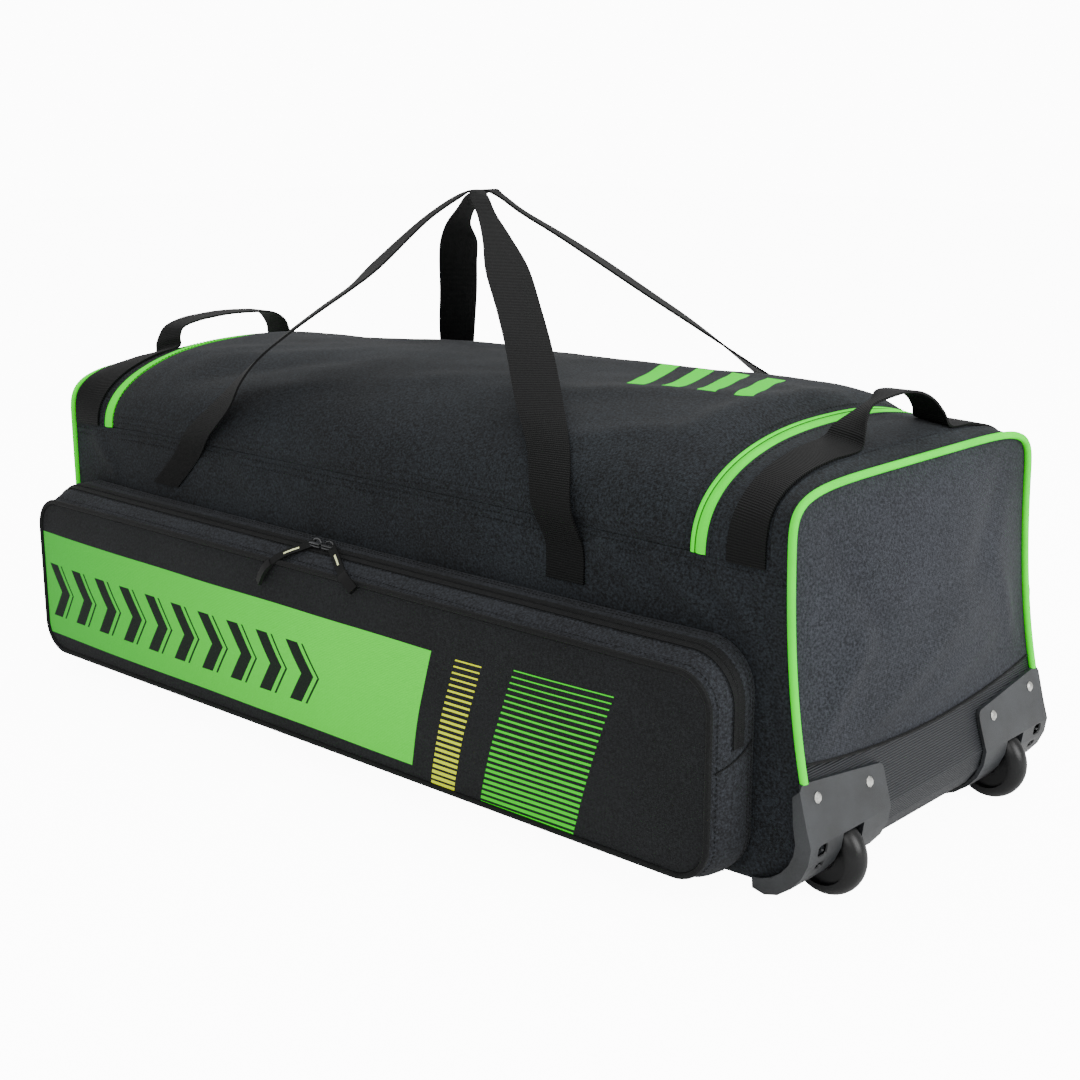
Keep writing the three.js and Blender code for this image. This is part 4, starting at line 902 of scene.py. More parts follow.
def make_walls(drape):
    shares = [CORNER_SHARE * s for s in steps(8)] + [lerp(CORNER_SHARE, 1, s) for s in steps(44)[1:]]
    places = places_between(FAR_END, WHEEL_END, 5)
    for side, name in ((-1, "front_wall"), (1, "back_wall")):

        def folds(point, i, j, side=side):
            seam = section_at(places[i]).seam
            edge = clamp((point.z - 25) / 30) * clamp((seam - point.z) / 8)
            edge *= clamp((i + 1) / 8) * clamp((len(places) - i) / 8)
            beyond = max(-466 - point.x, point.x - pocket_shift(side) - 428, point.z - 212)
            edge *= 0.15 + 0.85 * clamp(beyond / 10)
            for strap in (FRONT_STRAP_LEFT if side < 0 else BACK_STRAP_LEFT, STRAP_RIGHT):
                edge *= clamp((abs(point.x - strap) - 20) / 14)
            soft = wander(point, (70, 60, 34), side + 3)
            fold = sum(ridge(point.x, point.z, line, w) * a for line, w, a in WALL_FOLDS)
            return drape * edge * (1.3 * soft + 1.5 * fold) - 0.4 * clamp(1 - abs(seam - point.z) / 4)

        grid = [[wall_point(place, share, side) for share in shares] for place in places]
        wall = sheet(name + "_cloth", grid, -CLOTH, 0, finish("body"), shape=folds)
        settle(wall, [name])


def make_base():
    places = places_between(FAR_END, CURVE_START - 5, 10)
    grid = [[base_point(p, 0.998 * (2 * s - 1)) for s in steps(30)] for p in places]
    settle(sheet("base_cloth", grid, -CLOTH, 0, finish("trim")), ["base_panel"])


def top_strip(name, start, end, back_height, gap, material, shape):
    """Cloth over the bag's top from the front seam to a height above the back one."""
    grid = []
    for place in places_between(start, end, gap):
        first = turn_at_height(place, GAP)
        last = math.pi - turn_at_height(place, back_height)
        grid.append([lid_point(place, lerp(first, last, s)) for s in steps(TOP_STEPS)])
    return sheet(name, grid, -CLOTH, 0, material, shape=shape)


LID_FOLDS = (
    (((-330, -160), (-110, -70)), 15, -3.2),
    (((-350, -125), (-150, -40)), 18, 3.0),
    (((310, -150), (345, 60)), 14, 4.0),
    (((180, -165), (320, -120)), 12, 2.6),
    (((120, -100), (330, -30)), 16, 3.2),
    (((-60, -120), (120, -60)), 20, 2.2),
    (((-380, -120), (-250, -40)), 18, 2.5),
    (((-250, -165), (-80, -130)), 12, 1.8),
    (((60, 20), (330, 70)), 20, 2.6),
    (((-300, 30), (-40, 90)), 22, 2.2),
)


def make_lid(drape):
    start, end = FAR_ZIP + ZIP_WIDTH + GAP, WHEEL_ZIP - GAP

    def folds(point, i, j):
        rim = min(point.x - start, end - point.x)
        low = section_at(round(point.x, 1)).seam
        edge = clamp(rim / 14) * clamp((point.z - low - 2) / 16)
        soft = wander(point, (120, 60, 60), 1.7) + 0.5 * wander(point, (45, 30, 40), 8.1)
        fold = sum(ridge(point.x, point.y, line, w) * a for line, w, a in LID_FOLDS)
        pinch = 1.8 * math.exp(-max(rim, 0) / 5)
        roll = 1.2 * math.exp(-(((point.z - low - 9) / 5) ** 2)) * clamp(rim / 14)
        tuck = 1 - clamp((point.z - low) / 4)
        return drape * edge * (1.8 * soft + fold) - pinch + roll - tuck

    lid = top_strip("lid_cloth", start, end, ZIP_WIDTH + 2 * GAP, 5, finish("lid"), folds)
    settle(lid, ["lid"])
    grid = []
    for place in places_between(start, end, 8):
        turns = [math.pi - turn_at_height(place, lerp(GAP, ZIP_WIDTH + GAP, s)) for s in steps(10)]
        grid.append([lid_point(place, turn) for turn in turns])
    back = sheet("back_zip_tape", grid, -CLOTH, 0, finish("neon"))
    settle(back, ["main_zip_back"])


def make_gussets(drape):
    """The strips beyond the end zips, each with a join beside the handle's webbing.

    A join is a groove with a turned edge next to it.
    """
    for name, start, end, join in (
        ("wheel_end_gusset", WHEEL_ZIP + ZIP_WIDTH + GAP, WHEEL_END, 436),
        ("far_end_gusset", FAR_END, FAR_ZIP - GAP, -461.5),
    ):
        turned = 1 if join > 0 else -1
        count = len(places_between(start, end, 1.6)) - 1

        def gusset(point, i, j, start=start, end=end, join=join, turned=turned, count=count):
            place = lerp(start, end, i / count)
            low = section_at(round(min(point.x, WHEEL_END), 1)).seam
            soft = wander(point, (30, 45, 40), 5.2) * clamp((abs(place - join + turned * 22) - 18) / 6)
            away = turned * (place - join)
            turned_edge = math.exp(-(((away - 2) / 1.8) ** 2))
            groove = 1.3 * math.exp(-(((away + 1.2) / 1.5) ** 2))
            return (drape * 0.9 * soft + turned_edge - groove) * clamp((point.z - low) / 12)

        strip = top_strip(name + "_cloth", start, end, GAP, 1.6, finish("body"), gusset)
        settle(strip, [name])


def make_main_zips():
    """The end zips' strips, of which the wheel end's shows its coil beside a closed share."""
    for node, start, closed in (("main_zip_wheel_end", WHEEL_ZIP, 0.34), ("main_zip_far_end", FAR_ZIP, 0)):

        def rolled(point, i, j, closed=closed):
            share = i / 20
            if share < closed:
                return 0.9 * math.sin(math.pi * share / closed) - 0.5
            return 1.4 * math.sin(math.pi * (share - closed) / (1 - closed)) - 0.5

        plain = finish("neon_zip" if closed else "neon")
        strip = top_strip(node + "_tape", start, start + ZIP_WIDTH, GAP, 0.7, plain, rolled)
        layer = strip.data.uv_layers["cloth"]
        for loop in strip.data.loops:
            u, v = layer.data[loop.index].uv
            layer.data[loop.index].uv = (u - ZIP_WIDTH * closed * MM, v)
        settle(strip, [node])


def end_side(section, z, side):
    drop = max(section.low_z + EDGE - z, 0)
    radius = EDGE - END_INSET
    return Vector((side * (section.half - EDGE + math.sqrt(max(radius**2 - drop**2, 0))), z))


def end_x(section, y, z, bow, bow_start, direction):
    up = clamp((z - bow_start) / (section.crown - bow_start))
    across = clamp(y / section.half, -1, 1)
    return in_section(section, y, z).x + direction * bow * (1 - across**2) * math.sin(math.pi * up)


def blended(bottom, top, left, right, u, v):
    """Flat point inside four edges."""
    point = bottom(u) * (1 - v) + top(u) * v + left(v) * (1 - u) + right(v) * u
    point -= bottom(0) * (1 - u) * (1 - v) + bottom(1) * u * (1 - v)
    return point - top(0) * (1 - u) * v - top(1) * u * v


END_FOLDS = (
    (((-165, 118), (-95, 215)), 12, 3.2),
    (((-150, 300), (-60, 170)), 16, -3.0),
    (((-120, 110), (30, 190)), 16, 2.6),
    (((165, 125), (90, 230)), 14, 3.0),
    (((150, 310), (40, 210)), 18, -2.8),
    (((-20, 125), (110, 160)), 14, 2.0),
    (((-80, 310), (90, 300)), 14, 2.0),
)


def end_panel(node, place, foot_at, bow, bow_start, direction, drape):
    section = section_at(place)
    foot = foot_at(1)
    corner = math.pi / 4

    def edge(share, side):
        if share < 0.75:
            return end_side(section, lerp(foot, section.seam, share / 0.75), side)
        turn = corner * (share - 0.75) / 0.25
        return dome(section, turn if side < 0 else math.pi - turn, END_INSET)

    def bottom(u):
        across = 2 * u - 1
        return Vector((across * end_side(section, foot, 1).x, foot_at(across)))

    def top(u):
        return dome(section, lerp(corner, math.pi - corner, u), END_INSET)

    def folds(point, i, j):
        rim = clamp(min(i, PANEL_STEPS - i) / 8) * clamp(min(j, PANEL_STEPS - j) / 8)
        soft = wander(point, (60, 70, 60), 2.3 + direction)
        fold = sum(ridge(point.y, point.z, line, w) * a for line, w, a in END_FOLDS)
        return drape * rim * (2.2 * soft + 1.4 * fold)

    grid = []
    for u in steps(PANEL_STEPS):
        row = []
        for v in steps(PANEL_STEPS):
            flat = blended(bottom, top, lambda s: edge(s, -1), lambda s: edge(s, 1), u, v)
            row.append(Vector((end_x(section, flat.x, flat.y, bow, bow_start, direction), flat.x, flat.y)))
        grid.append(row)
    # The end cloth's lighter tones are painted light, not a different cloth.
    panel = sheet(node + "_cloth", grid, -CLOTH, 0, finish("end"), shape=folds)
    settle(panel, [node])


def end_piping(node, place, foot, direction):
    section = section_at(place)
    points = []

    def push(y, z, ny, nz):
        point = in_section(section, y, z)
        points.append(point + Vector((direction * PIPING_STAND, ny * 0.2, nz * 0.2)))

    for s in steps(36)[:-1]:
        push(-section.half, lerp(foot, section.seam, s), -1, 0)
    for s in steps(90):
        on = lid_point(place, math.pi * s)
        outward = lid_outward(place, math.pi * s)
        push(on.y, on.z, outward.y, outward.z)
    for s in steps(36)[:-1][::-1]:
        push(section.half, lerp(foot, section.seam, s), 1, 0)
    settle(cord(node + "_cord", points, PIPING_RADIUS, 12, finish("neon")), [node])


def make_ends(drape):
    end_panel("wheel_end_panel", WHEEL_END, band_edge, WHEEL_END_BOW, 110, 1, drape)
    end_panel("far_end_panel", FAR_END, lambda a: FAR_CURVE + 1, FAR_END_BOW, FAR_CURVE, -1, drape)
    end_piping("wheel_end_piping", WHEEL_END, PIPING_FOOT, 1)
    end_piping("far_end_piping", FAR_END, FAR_CURVE + EDGE, -1)


def make_band():
    """The ribbed scuff band, cut from the solid so that it keeps the holes for the housings."""
    obj = dressed_copy("scuff_band", finish("scuff"), 0)
    layer = obj.data.uv_layers.new(name="cloth")
    foot = END_LIFT + CURVE_HEIGHT
    mean_radius = 54
    for loop in obj.data.loops:
        co = obj.data.vertices[loop.vertex_index].co
        run = co.z / MM
        if run < foot:
            turn = math.atan2((co.x / MM - SHIFT - CURVE_START) / CURVE_LENGTH, (foot - run) / CURVE_HEIGHT)
            run = foot - mean_radius * (math.pi / 2 - turn)
        layer.data[loop.index].uv = (run * MM, co.y)
    settle(obj, ["scuff_band"])
    section = section_at(WHEEL_END)
    seam = []
    for s in steps(60):
        across = lerp(-0.99, 0.99, s)
        z = band_edge(across) + 0.4
        seam.append(in_section(section, across * (section.half - 2.6), z) + Vector((0.9, 0, 0)))
    settle(cord("band_seam_cord", seam, 1.3, 8, finish("trim")))


def dressed_copy(node, material, bevel):
    """A merged copy of a solid's mesh with its sharp edges rounded off."""
    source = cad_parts[node]
    box = bmesh.new()
    box.from_mesh(source.data)
    bmesh.ops.remove_doubles(box, verts=box.verts, dist=2e-5)
    bmesh.ops.recalc_face_normals(box, faces=box.faces)
    if bevel:
        bmesh.ops.dissolve_limit(box, angle_limit=math.radians(2), verts=box.verts, edges=box.edges)
        sharp = [e for e in box.edges if len(e.link_faces) == 2 and e.calc_face_angle(0) > math.radians(50)]
        bmesh.ops.bevel(
            box,
            geom=sharp,
            offset=bevel * MM,
            segments=2,
            profile=0.6,
            affect="EDGES",
            clamp_overlap=True,
        )
    mesh = bpy.data.meshes.new(node + "_dressed")
    box.to_mesh(mesh)
    box.free()
    mesh.shade_smooth()
    mesh.set_sharp_from_angle(angle=math.radians(38))
    mesh.materials.append(material)
    return placed(node + "_dressed", mesh)


# Webbing

TAUT_LEG = (
    (0.04, 0.03, 0.98, 1), (0.11, 0.085, 0.93, 1), (0.22, 0.185, 0.862, 1), (0.34, 0.305, 0.78, 1),
    (0.48, 0.45, 0.678, 1), (0.615, 0.6, 0.577, 0.95), (0.755, 0.77, 0.46, 0.7), (0.885, 0.91, 0.345, 0.25),
    (0.965, 0.985, 0.21, 0.05), (0.995, 1, 0.1, 0), (1, 1, 0, 0),
)
SLACK_LEG = (
    (0.04, 0.05, 0.985, 1), (0.105, 0.22, 0.91, 1), (0.19, 0.455, 0.772, 1), (0.255, 0.565, 0.697, 1),
    (0.33, 0.68, 0.63, 1), (0.415, 0.81, 0.55, 0.95), (0.49, 0.89, 0.48, 0.8), (0.57, 0.945, 0.4, 0.55),
    (0.65, 0.985, 0.31, 0.25), (0.75, 1, 0.21, 0.05), (0.87, 1, 0.11, 0), (1, 1, 0, 0),
)
BOWED_LEG = (
    (0.1, 0.03, 0.98, 1), (0.22, 0.12, 0.93, 1), (0.344, 0.23, 0.872, 1), (0.428, 0.346, 0.805, 1),
    (0.52, 0.464, 0.731, 1), (0.628, 0.611, 0.612, 0.95), (0.745, 0.758, 0.486, 0.8),
    (0.83, 0.87, 0.381, 0.5), (0.91, 0.95, 0.28, 0.25), (0.965, 1, 0.17, 0.05), (1, 1, 0, 0),
)


def carry_strap(node, side, left_leg, left_place, width):
    peak_y = 10

    def place(row, end):
        x = lerp(PEAK_PLACE, end, row[0])
        z = lerp(STRAP_FOOT, PEAK_HEIGHT, row[2])
        wall_y = half_width_at(x, min(z, SEAM)) + GAP + 1
        clear = lid_half_width_at(x, z) + 10 if z > SEAM else 0
        return Vector((x, side * max(lerp(peak_y, wall_y, row[1]), clear), z))

    route = [(place(row, left_place), row[2], row[3], side) for row in reversed(left_leg)]
    route.append((Vector((PEAK_PLACE, side * peak_y, PEAK_HEIGHT)), 1, 1, side))
    route += [(place(row, STRAP_RIGHT), row[2], row[3], -side) for row in TAUT_LEG]
    rows = []
    for i, (centre, up, free, leg) in enumerate(route):
        run = route[min(i + 1, len(route) - 1)][0] - route[max(i - 1, 0)][0]
        level = math.atan2(abs(run.x), -run.y * math.copysign(1, run.x))
        turn = lerp(0 if leg > 0 else math.pi, level, free)
        wide = lerp(width, 18, ease((up - 0.78) / 0.15))
        across = Vector((math.cos(turn), math.sin(turn), 0))
        rows.append([centre + across * wide * s for s in ACROSS])
    inside = (PEAK_PLACE, 0, SEAM)
    strap = sheet(node + "_webbing", smooth_rows(rows, 12), -1, 1, finish("webbing"), inside=inside)
    settle(strap, [node])


ARCHED_GRIP = (
    (0.07, 0.28, 0.3), (0.16, 0.58, 0.8), (0.28, 0.84, 1), (0.42, 0.98, 1),
    (0.55, 1, 1), (0.7, 0.9, 1), (0.83, 0.68, 0.8), (0.93, 0.34, 0.4),
)
FLAT_GRIP = (
    (0.02, 0.35, 0.3), (0.07, 0.7, 0.8), (0.2, 0.88, 1), (0.35, 0.96, 1),
    (0.5, 1, 1), (0.68, 0.98, 1), (0.85, 0.9, 0.9), (0.95, 0.55, 0.4),
)


def end_handle(node, place, front, back, rise, grip, twist=0):
    offsets = [HANDLE_WIDTH * share for share in ACROSS]

    def on_top(turn, offset):
        return lid_point(place + offset, turn) + lid_outward(place + offset, turn) * HANDLE_LIFT

    def rows_on_top(first, last):
        out = []
        for s in steps(7):
            turn = lerp(first, last, s)
            out.append([on_top(turn, offset) for offset in offsets])
        return out

    start = turn_at_height(place, GAP)
    front_rows = rows_on_top(start, turn_at_reach(place, -front))
    back_rows = rows_on_top(turn_at_reach(place, back), math.pi - start)
    first, last = front_rows[-1], back_rows[0]
    grip_rows = []
    for along, up, narrow in grip:
        width = lerp(1, GRIP_WIDTH / HANDLE_WIDTH, narrow)
        middle = first[2].lerp(last[2], along)
        row = []
        for j in range(5):
            point = first[j].lerp(last[j], along)
            point.x = lerp(middle.x, point.x, width)
            point.z = lerp(point.z, middle.z, narrow) + rise * up
            row.append(point)
        # The webbing turns edge on where the front leg leaves the bag.
        turned = Matrix.Rotation(twist * math.sin(math.pi * clamp((along - 0.02) / 0.5)) ** 2, 3, "Z")
        centre = row[2].copy()
        row = [centre + turned @ (point - centre) for point in row]
        grip_rows.append(row)
    rows = smooth_rows(front_rows + grip_rows + back_rows, 8)
    handle = sheet(node + "_webbing", rows, -1, 1, finish("webbing"), inside=(place, 0, SEAM))
    settle(handle, [node])


# Pockets

CORNER, LONG, SHORT = 10, 64, 10


def pocket_outline(left, right, bottom, top, radius):
    corners = (
        (right - radius, bottom + radius, -math.pi / 2),
        (right - radius, top - radius, 0),
        (left + radius, top - radius, math.pi / 2),
        (left + radius, bottom + radius, math.pi),
    )
    points = []
    for k, (x, z, start) in enumerate(corners):
        for i in range(CORNER + 1):
            turn = start + math.pi / 2 * i / CORNER
            points.append(Vector((x + radius * math.cos(turn), z + radius * math.sin(turn))))
        nx, nz, turn = corners[(k + 1) % 4]
        end = Vector((nx + radius * math.cos(turn), nz + radius * math.sin(turn)))
        first = points[-1]
        count = SHORT if k % 2 == 0 else LONG
        points.extend(first.lerp(end, i / count) for i in range(1, count))
    return points


FACE = pocket_outline(-470, 415, 26, 190, 30)
SEAM_LINE = pocket_outline(-461, 424, 19, 209, 40)


def gusset_point(i, depth, shift):
    count = len(FACE)
    k = math.floor(i)
    t = i - k
    seam = SEAM_LINE[k % count].lerp(SEAM_LINE[(k + 1) % count], t)
    face = FACE[k % count].lerp(FACE[(k + 1) % count], t)
    flat = seam.lerp(face, depth)
    ahead = FACE[(k + 1) % count] - FACE[(k - 1) % count]
    outward = Vector((ahead.y, -ahead.x)).normalized()
    flat += outward * 5 * math.sin(math.pi * depth)
    wall = -(half_width_at(seam.x + shift, seam.y) + 1.3)
    return Vector((flat.x, lerp(wall, FACE_PLANE + FACE_INSET, depth), flat.y))


def to_back(point, shift=BACK_POCKET_SHIFT):
    """The place on the bag's back that answers to a point of its front."""
    return Vector((point[0] + shift, -point[1], point[2]))


def at_side(side, points):
    """The same points on the bag's back, for the back pocket."""
    if side < 0:
        return points
    return [[to_back(point) for point in row] for row in points]


def pocket_middle(side):
    return (pocket_shift(side), side * 210, 108)


def pocket_zip_stops():
    return [i for i, point in enumerate(FACE) if point.y > ZIP_FOOT and i > 0]


def make_pocket_gusset(side, name, drape):
    """The cloth round a pocket, between its seam on the wall and its face."""
    count = len(FACE)
    shift = pocket_shift(side)
    grid = [[gusset_point(i, depth, shift) for depth in steps(GUSSET_STEPS)] for i in range(count)]

    def puffed(point, i, j):
        zipped = FACE[i % count].y > ZIP_FOOT
        rim = math.sin(math.pi * j / GUSSET_STEPS)
        if zipped:
            rim *= clamp((abs(j / GUSSET_STEPS - 0.5) - 0.12) / 0.2)
        low = 0 if zipped else 1.4 * wander(point, (22, 16, 60), 9.1)
        return rim * drape * (1.1 * wander(point, (40, 40, 40), 4.4 + side) + low - 0.2)

    # The gusset's cloth is painted lighter, for the light that falls on it.
    gusset = sheet(
        name + "_gusset_cloth",
        at_side(side, grid),
        -CLOTH,
        0,
        finish("pocket_side"),
        closed=True,
        inside=pocket_middle(side),
        shape=puffed,
    )
    settle(gusset, [name + "_gusset"])


def face_edge():
    """Flat points round the pocket's face, just inside its piping."""
    count = len(FACE)
    edge = []
    for i, point in enumerate(FACE):
        ahead = FACE[(i + 1) % count] - FACE[(i - 1) % count]
        edge.append(point + Vector((-ahead.y, ahead.x)).normalized() * FACE_INSET)
    return edge


def run_along(edge, first, last):
    """Function of 0 to 1 that runs along part of a closed line."""
    count = len(edge)
    span = (last - first) % count

    def at(t):
        place = first + span * t
        k = math.floor(place)
        return edge[k % count].lerp(edge[(k + 1) % count], place - k)

    return at


def make_pocket_face(side, name, drape):
    """The puffed cloth of a pocket's face, printed on the front pocket."""
    edge = face_edge()
    short_run, long_run = CORNER + SHORT, CORNER + LONG
    splits = [k + CORNER / 2 for k in (0, short_run, short_run + long_run, 2 * short_run + long_run)]
    right, top = run_along(edge, splits[0], splits[1]), run_along(edge, splits[1], splits[2])
    left, bottom = run_along(edge, splits[2], splits[3]), run_along(edge, splits[3], splits[0])
    rows = []
    for u in steps(FACE_COLUMNS):
        row = []
        for v in steps(FACE_ROWS):
            flat = blended(bottom, lambda s: top(1 - s), lambda s: left(1 - s), right, u, v)
            across = clamp((flat.x + 27.5) / 442.5, -1, 1)
            up = clamp((flat.y - 108) / 82, -1, 1)
            puff = 7 * (1 - across**6) * (1 - up**2)
            row.append(Vector((flat.x, FACE_PLANE - puff, flat.y)))
        rows.append(row)

    def dents(point, i, j):
        rim = clamp(min(i, FACE_COLUMNS - i) / 6) * clamp(min(j, FACE_ROWS - j) / 5)
        return rim * drape * 1.3 * wander(point, (110, 60, 50), 6.1 + side)

    # The back pocket's face uses the gusset's cloth, which is painted lighter.
    face = sheet(
        name + "_face_cloth",
        at_side(side, rows),
        -CLOTH,
        0,
        finish("pocket") if side < 0 else finish("pocket_side"),
        inside=pocket_middle(side),
        shape=dents,
    )
    settle(face, [name + "_face"])


def make_pocket(side, name, drape):
    """One side pocket: gusset, face, piping and the zip's strip."""
    make_pocket_gusset(side, name, drape)
    make_pocket_face(side, name, drape)

    line = at_side(side, [[Vector((p.x, FACE_PLANE, p.y)) for p in FACE]])[0]
    piping = cord(name + "_piping_cord", line, 2.6, 10, finish("trim"), closed=True)
    settle(piping, [name + "_piping"])

    shift = pocket_shift(side)
    depths = [0.5 + share * 10 / 43 for share in ACROSS]
    tape = at_side(side, [[gusset_point(i, depth, shift) for depth in depths] for i in pocket_zip_stops()])
    strip = sheet(name + "_zip_tape", tape, 0.3, 1.3, finish("trim"), inside=pocket_middle(side))
    settle(strip, [name + "_zip"])


def zip_slider(name, node, x, side):
    """Slider of two plates and a post, and the bridge over it."""
    x += pocket_shift(side)
    y, z = side * 208.5, 206.6
    box = bmesh.new()
    for length, width, height, lift in ((14, 9, 1.4, 0.7), (14, 9, 1.2, 3.2), (3, 5, 2.4, 2.2)):
        made = bmesh.ops.create_cube(box, size=1)["verts"]
        bmesh.ops.scale(box, vec=(length, width, height), verts=made)
        bmesh.ops.translate(box, vec=(x, y, z + lift), verts=made)
    bmesh.ops.bevel(box, geom=list(box.edges), offset=0.35, segments=2, affect="EDGES", profile=0.6)
    box.verts.index_update()
    vertices = [v.co.copy() for v in box.verts]
    faces = [[v.index for v in f.verts] for f in box.faces]
    box.free()
    settle(piece(name, vertices, faces, finish("slider")), [node])
    bridge = []
    for turn in np.linspace(0, math.pi, 14):
        bridge.append(Vector((x + 5 * math.cos(turn), y, z + 3.6 + 3.4 * math.sin(turn))))
    settle(cord(name + "_bridge", bridge, 0.9, 8, finish("slider")))


# Routes of the zip pulls over the pocket's top edge: place, distance from the middle, height
LEFT_PULL = ((-46, 209, 210), (-58, 216, 204.5), (-72, 226, 197.5), (-86, 235.5, 185), (-96, 237, 169))
RIGHT_PULL = ((-26, 209, 210), (-14, 215, 206), (3, 224.5, 199), (20, 234, 194), (36, 237.5, 186))
BACK_PULL = ((22, 209, 210), (34, 216, 205), (48, 226, 198), (60, 235.5, 186), (68, 237, 172))


def zip_pull(name, node, side, route):
    x = route[0][0]
    line = [Vector(row[0]) for row in smooth_rows([[Vector((a, side * b, c))] for a, b, c in route], 10)]
    rows = []
    for i, centre in enumerate(line):
        run = line[min(i + 1, len(line) - 1)] - line[max(i - 1, 0)]
        across = run.cross(Vector((0, side * 0.75, 0.65))).normalized()
        rows.append([centre + across * 8 * s for s in ACROSS])
    cut = int(len(rows) * 0.68)
    strip = sheet(name, rows[: cut + 2], -0.9, 0.9, finish("cord"), inside=(x, 0, 100))
    settle(strip, [node])
    end_rows = [[row[2] + (point - row[2]) * 1.12 for point in row] for row in rows[cut:]]
    grip = sheet(name + "_end", end_rows, -1.7, 1.7, finish("rubber"), inside=(x, 0, 100))
    settle(grip)


# Wheels


def taper_rim(obj):
    """Narrows the rim on a housing's outer side towards its top and its foot."""
    section = section_at(WHEEL_END)
    foot = END_LIFT + CURVE_HEIGHT
    for vertex in obj.data.vertices:
        co = vertex.co
        x, z = co.x / MM - SHIFT, co.z / MM
        rim = abs(co.y) >= RIM_SIDE * MM
        tuck = 0
        if x < 452 and z < foot:
            # The foot is tucked in under the rounded lower edge of the wall.
            tuck = ease((452 - x) / 34) * clamp((abs(co.y) / MM - 160) / 27)
            co.y -= math.copysign(9 * tuck * MM, co.y)
        if not rim:
            co.z += FOOT_LIFT * tuck * MM
        elif z > foot:
            outer = in_section(section, 0, z).x + PLATE_OUT
            narrow = 1 - 0.55 * ease((z - foot) / 45)
            depth = outer - x
            co.x = (outer - depth * narrow + SHIFT) * MM
            co.z -= 6 * clamp(depth / 14) * ease((z - 98) / 6) * MM
        elif x < 450:
            along = (x - CURVE_START) / (CURVE_LENGTH + PLATE_OUT)
            outer = foot - (CURVE_HEIGHT + PLATE_OUT) * math.sqrt(max(1 - along**2, 0))
            narrow = 1 - 0.4 * ease((450 - x) / 32)
            co.z = (outer + max(z - outer, 0) * narrow + FOOT_LIFT * tuck) * MM


def cut_slot(obj, place, wide, tall):
    """Cuts a slot with rounded corners along X through a housing's plate."""
    x, y, z = place
    rod = [(0, -14), (1, -14), (1, 14), (0, 14)]
    cutter = lathe("slot_cutter", rod, 20, (0, 0, 0), finish("housing"), "X")
    for vertex in cutter.data.vertices:
        across, up = [math.copysign(abs(v / MM) ** 0.5, v) for v in vertex.co.yz]
        vertex.co = (x * MM + vertex.co.x, (y + across * wide / 2) * MM, (z + up * tall / 2) * MM)
    modifier = obj.modifiers.new("Slot", "BOOLEAN")
    modifier.object = cutter
    modifier.operation = "DIFFERENCE"
    modifier.solver = "EXACT"
    cut = evaluated(obj)
    obj.modifiers.remove(modifier)
    obj.data = cut
    bpy.data.objects.remove(cutter)


def even_shading(obj):
    """Weights the normals by face area, so that flat faces stay flat between rounded edges."""
    modifier = obj.modifiers.new("Shading", "WEIGHTED_NORMAL")
    modifier.keep_sharp = True
    shaded = evaluated(obj)
    obj.modifiers.remove(modifier)
    obj.data = shaded


# Half of the wheel's face and of the axle's outline: radius, distance from the wheel's middle
WHEEL_FACE = ((4.4, 11), (9.5, 11), (10, 10.4), (10.4, 8.6), (21.6, 8.2), (23, 9.4), (23.4, 11), (24.2, 11.4))
AXLE_HEAD = (
    (4, AXLE_REACH), (6.5, AXLE_REACH), (6.5, AXLE_REACH + 1.2), (5.6, AXLE_REACH + 2), (0, AXLE_REACH + 2),
)


def make_wheel(name, side):
    """The moulded wheel with its round tread, and its axle pin."""
    place = (460, side * 131, 33)
    profile = [(radius, -along) for radius, along in WHEEL_FACE]
    for s in steps(18):
        turn = -math.pi / 2 + math.pi * s
        profile.append((22.2 + 10.8 * math.cos(turn), 12 * math.sin(turn)))
    profile += reversed(WHEEL_FACE)
    wheel = lathe(name + "_wheel_moulding", profile, 64, place, finish("wheel"))
    settle(wheel, [name + "_wheel"], body=name + "_wheel_body")
    profile = [(radius, -along) for radius, along in reversed(AXLE_HEAD)]
    profile += AXLE_HEAD
    axle = lathe(name + "_axle_pin", profile, 40, place, finish("steel"))
    settle(axle, [name + "_axle"])


def make_housing(name, side):
    """The housing with two slots in its plate, and the cloth that shows through them."""
    housing = dressed_copy(name + "_wheel_housing", finish("housing"), 0.7)
    taper_rim(housing)
    for y, z, wide, tall in ((173, 56, 13, 10), (171, 42, 11, 6)):
        cut_slot(housing, (470, side * y, z), wide, tall)
    even_shading(housing)
    settle(housing, [name + "_wheel_housing"])
    lining = []
    for s in steps(24):
        turn = math.radians(lerp(38, 100, s))
        x, z = CURVE_START + 55 * math.sin(turn), END_LIFT + CURVE_HEIGHT - 47 * math.cos(turn)
        lining.append([Vector((x, side * lerp(153, 184, t), z)) for t in steps(10)])
    inside = (420, side * 168, 70)
    cloth = sheet(name + "_housing_lining", lining, -1.2, 0, finish("scuff"), inside=inside)
    settle(cloth)


def make_wheels():
    for name, side in (("front", -1), ("back", 1)):
        make_wheel(name, side)
        make_housing(name, side)
        for part in ("outer", "inner"):
            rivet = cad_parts[f"{name}_rivet_{part}"]
            rivet.data.materials.clear()
            rivet.data.materials.append(finish("steel"))


# Stitching: every line is a list of points with their outward directions.


def lid_seam_line(height):
    line = []
    for place in places_between(FAR_ZIP + 20, WHEEL_ZIP - 6, 8):
        turn = turn_at_height(place, height)
        out = lid_outward(place, turn)
        line.append((lid_point(place, turn) + out * 0.9, out))
    return line


def back_seam_line(height):
    line = []
    for place in places_between(FAR_ZIP + 20, WHEEL_ZIP - 6, 8):
        section = section_at(place)
        point = Vector((section.low_x, section.half + 0.4, section.seam + height))
        line.append((point, Vector((0, 1, 0))))
    return line


def wall_seam_line(side, drop):
    line = []
    for place in places_between(FAR_END + 8, WHEEL_END - 20, 8):
        point = wall_point(place, 1 - drop / 230, side)
        line.append((point + Vector((0, side * 0.5, 0)), Vector((0, side, 0))))
    return line


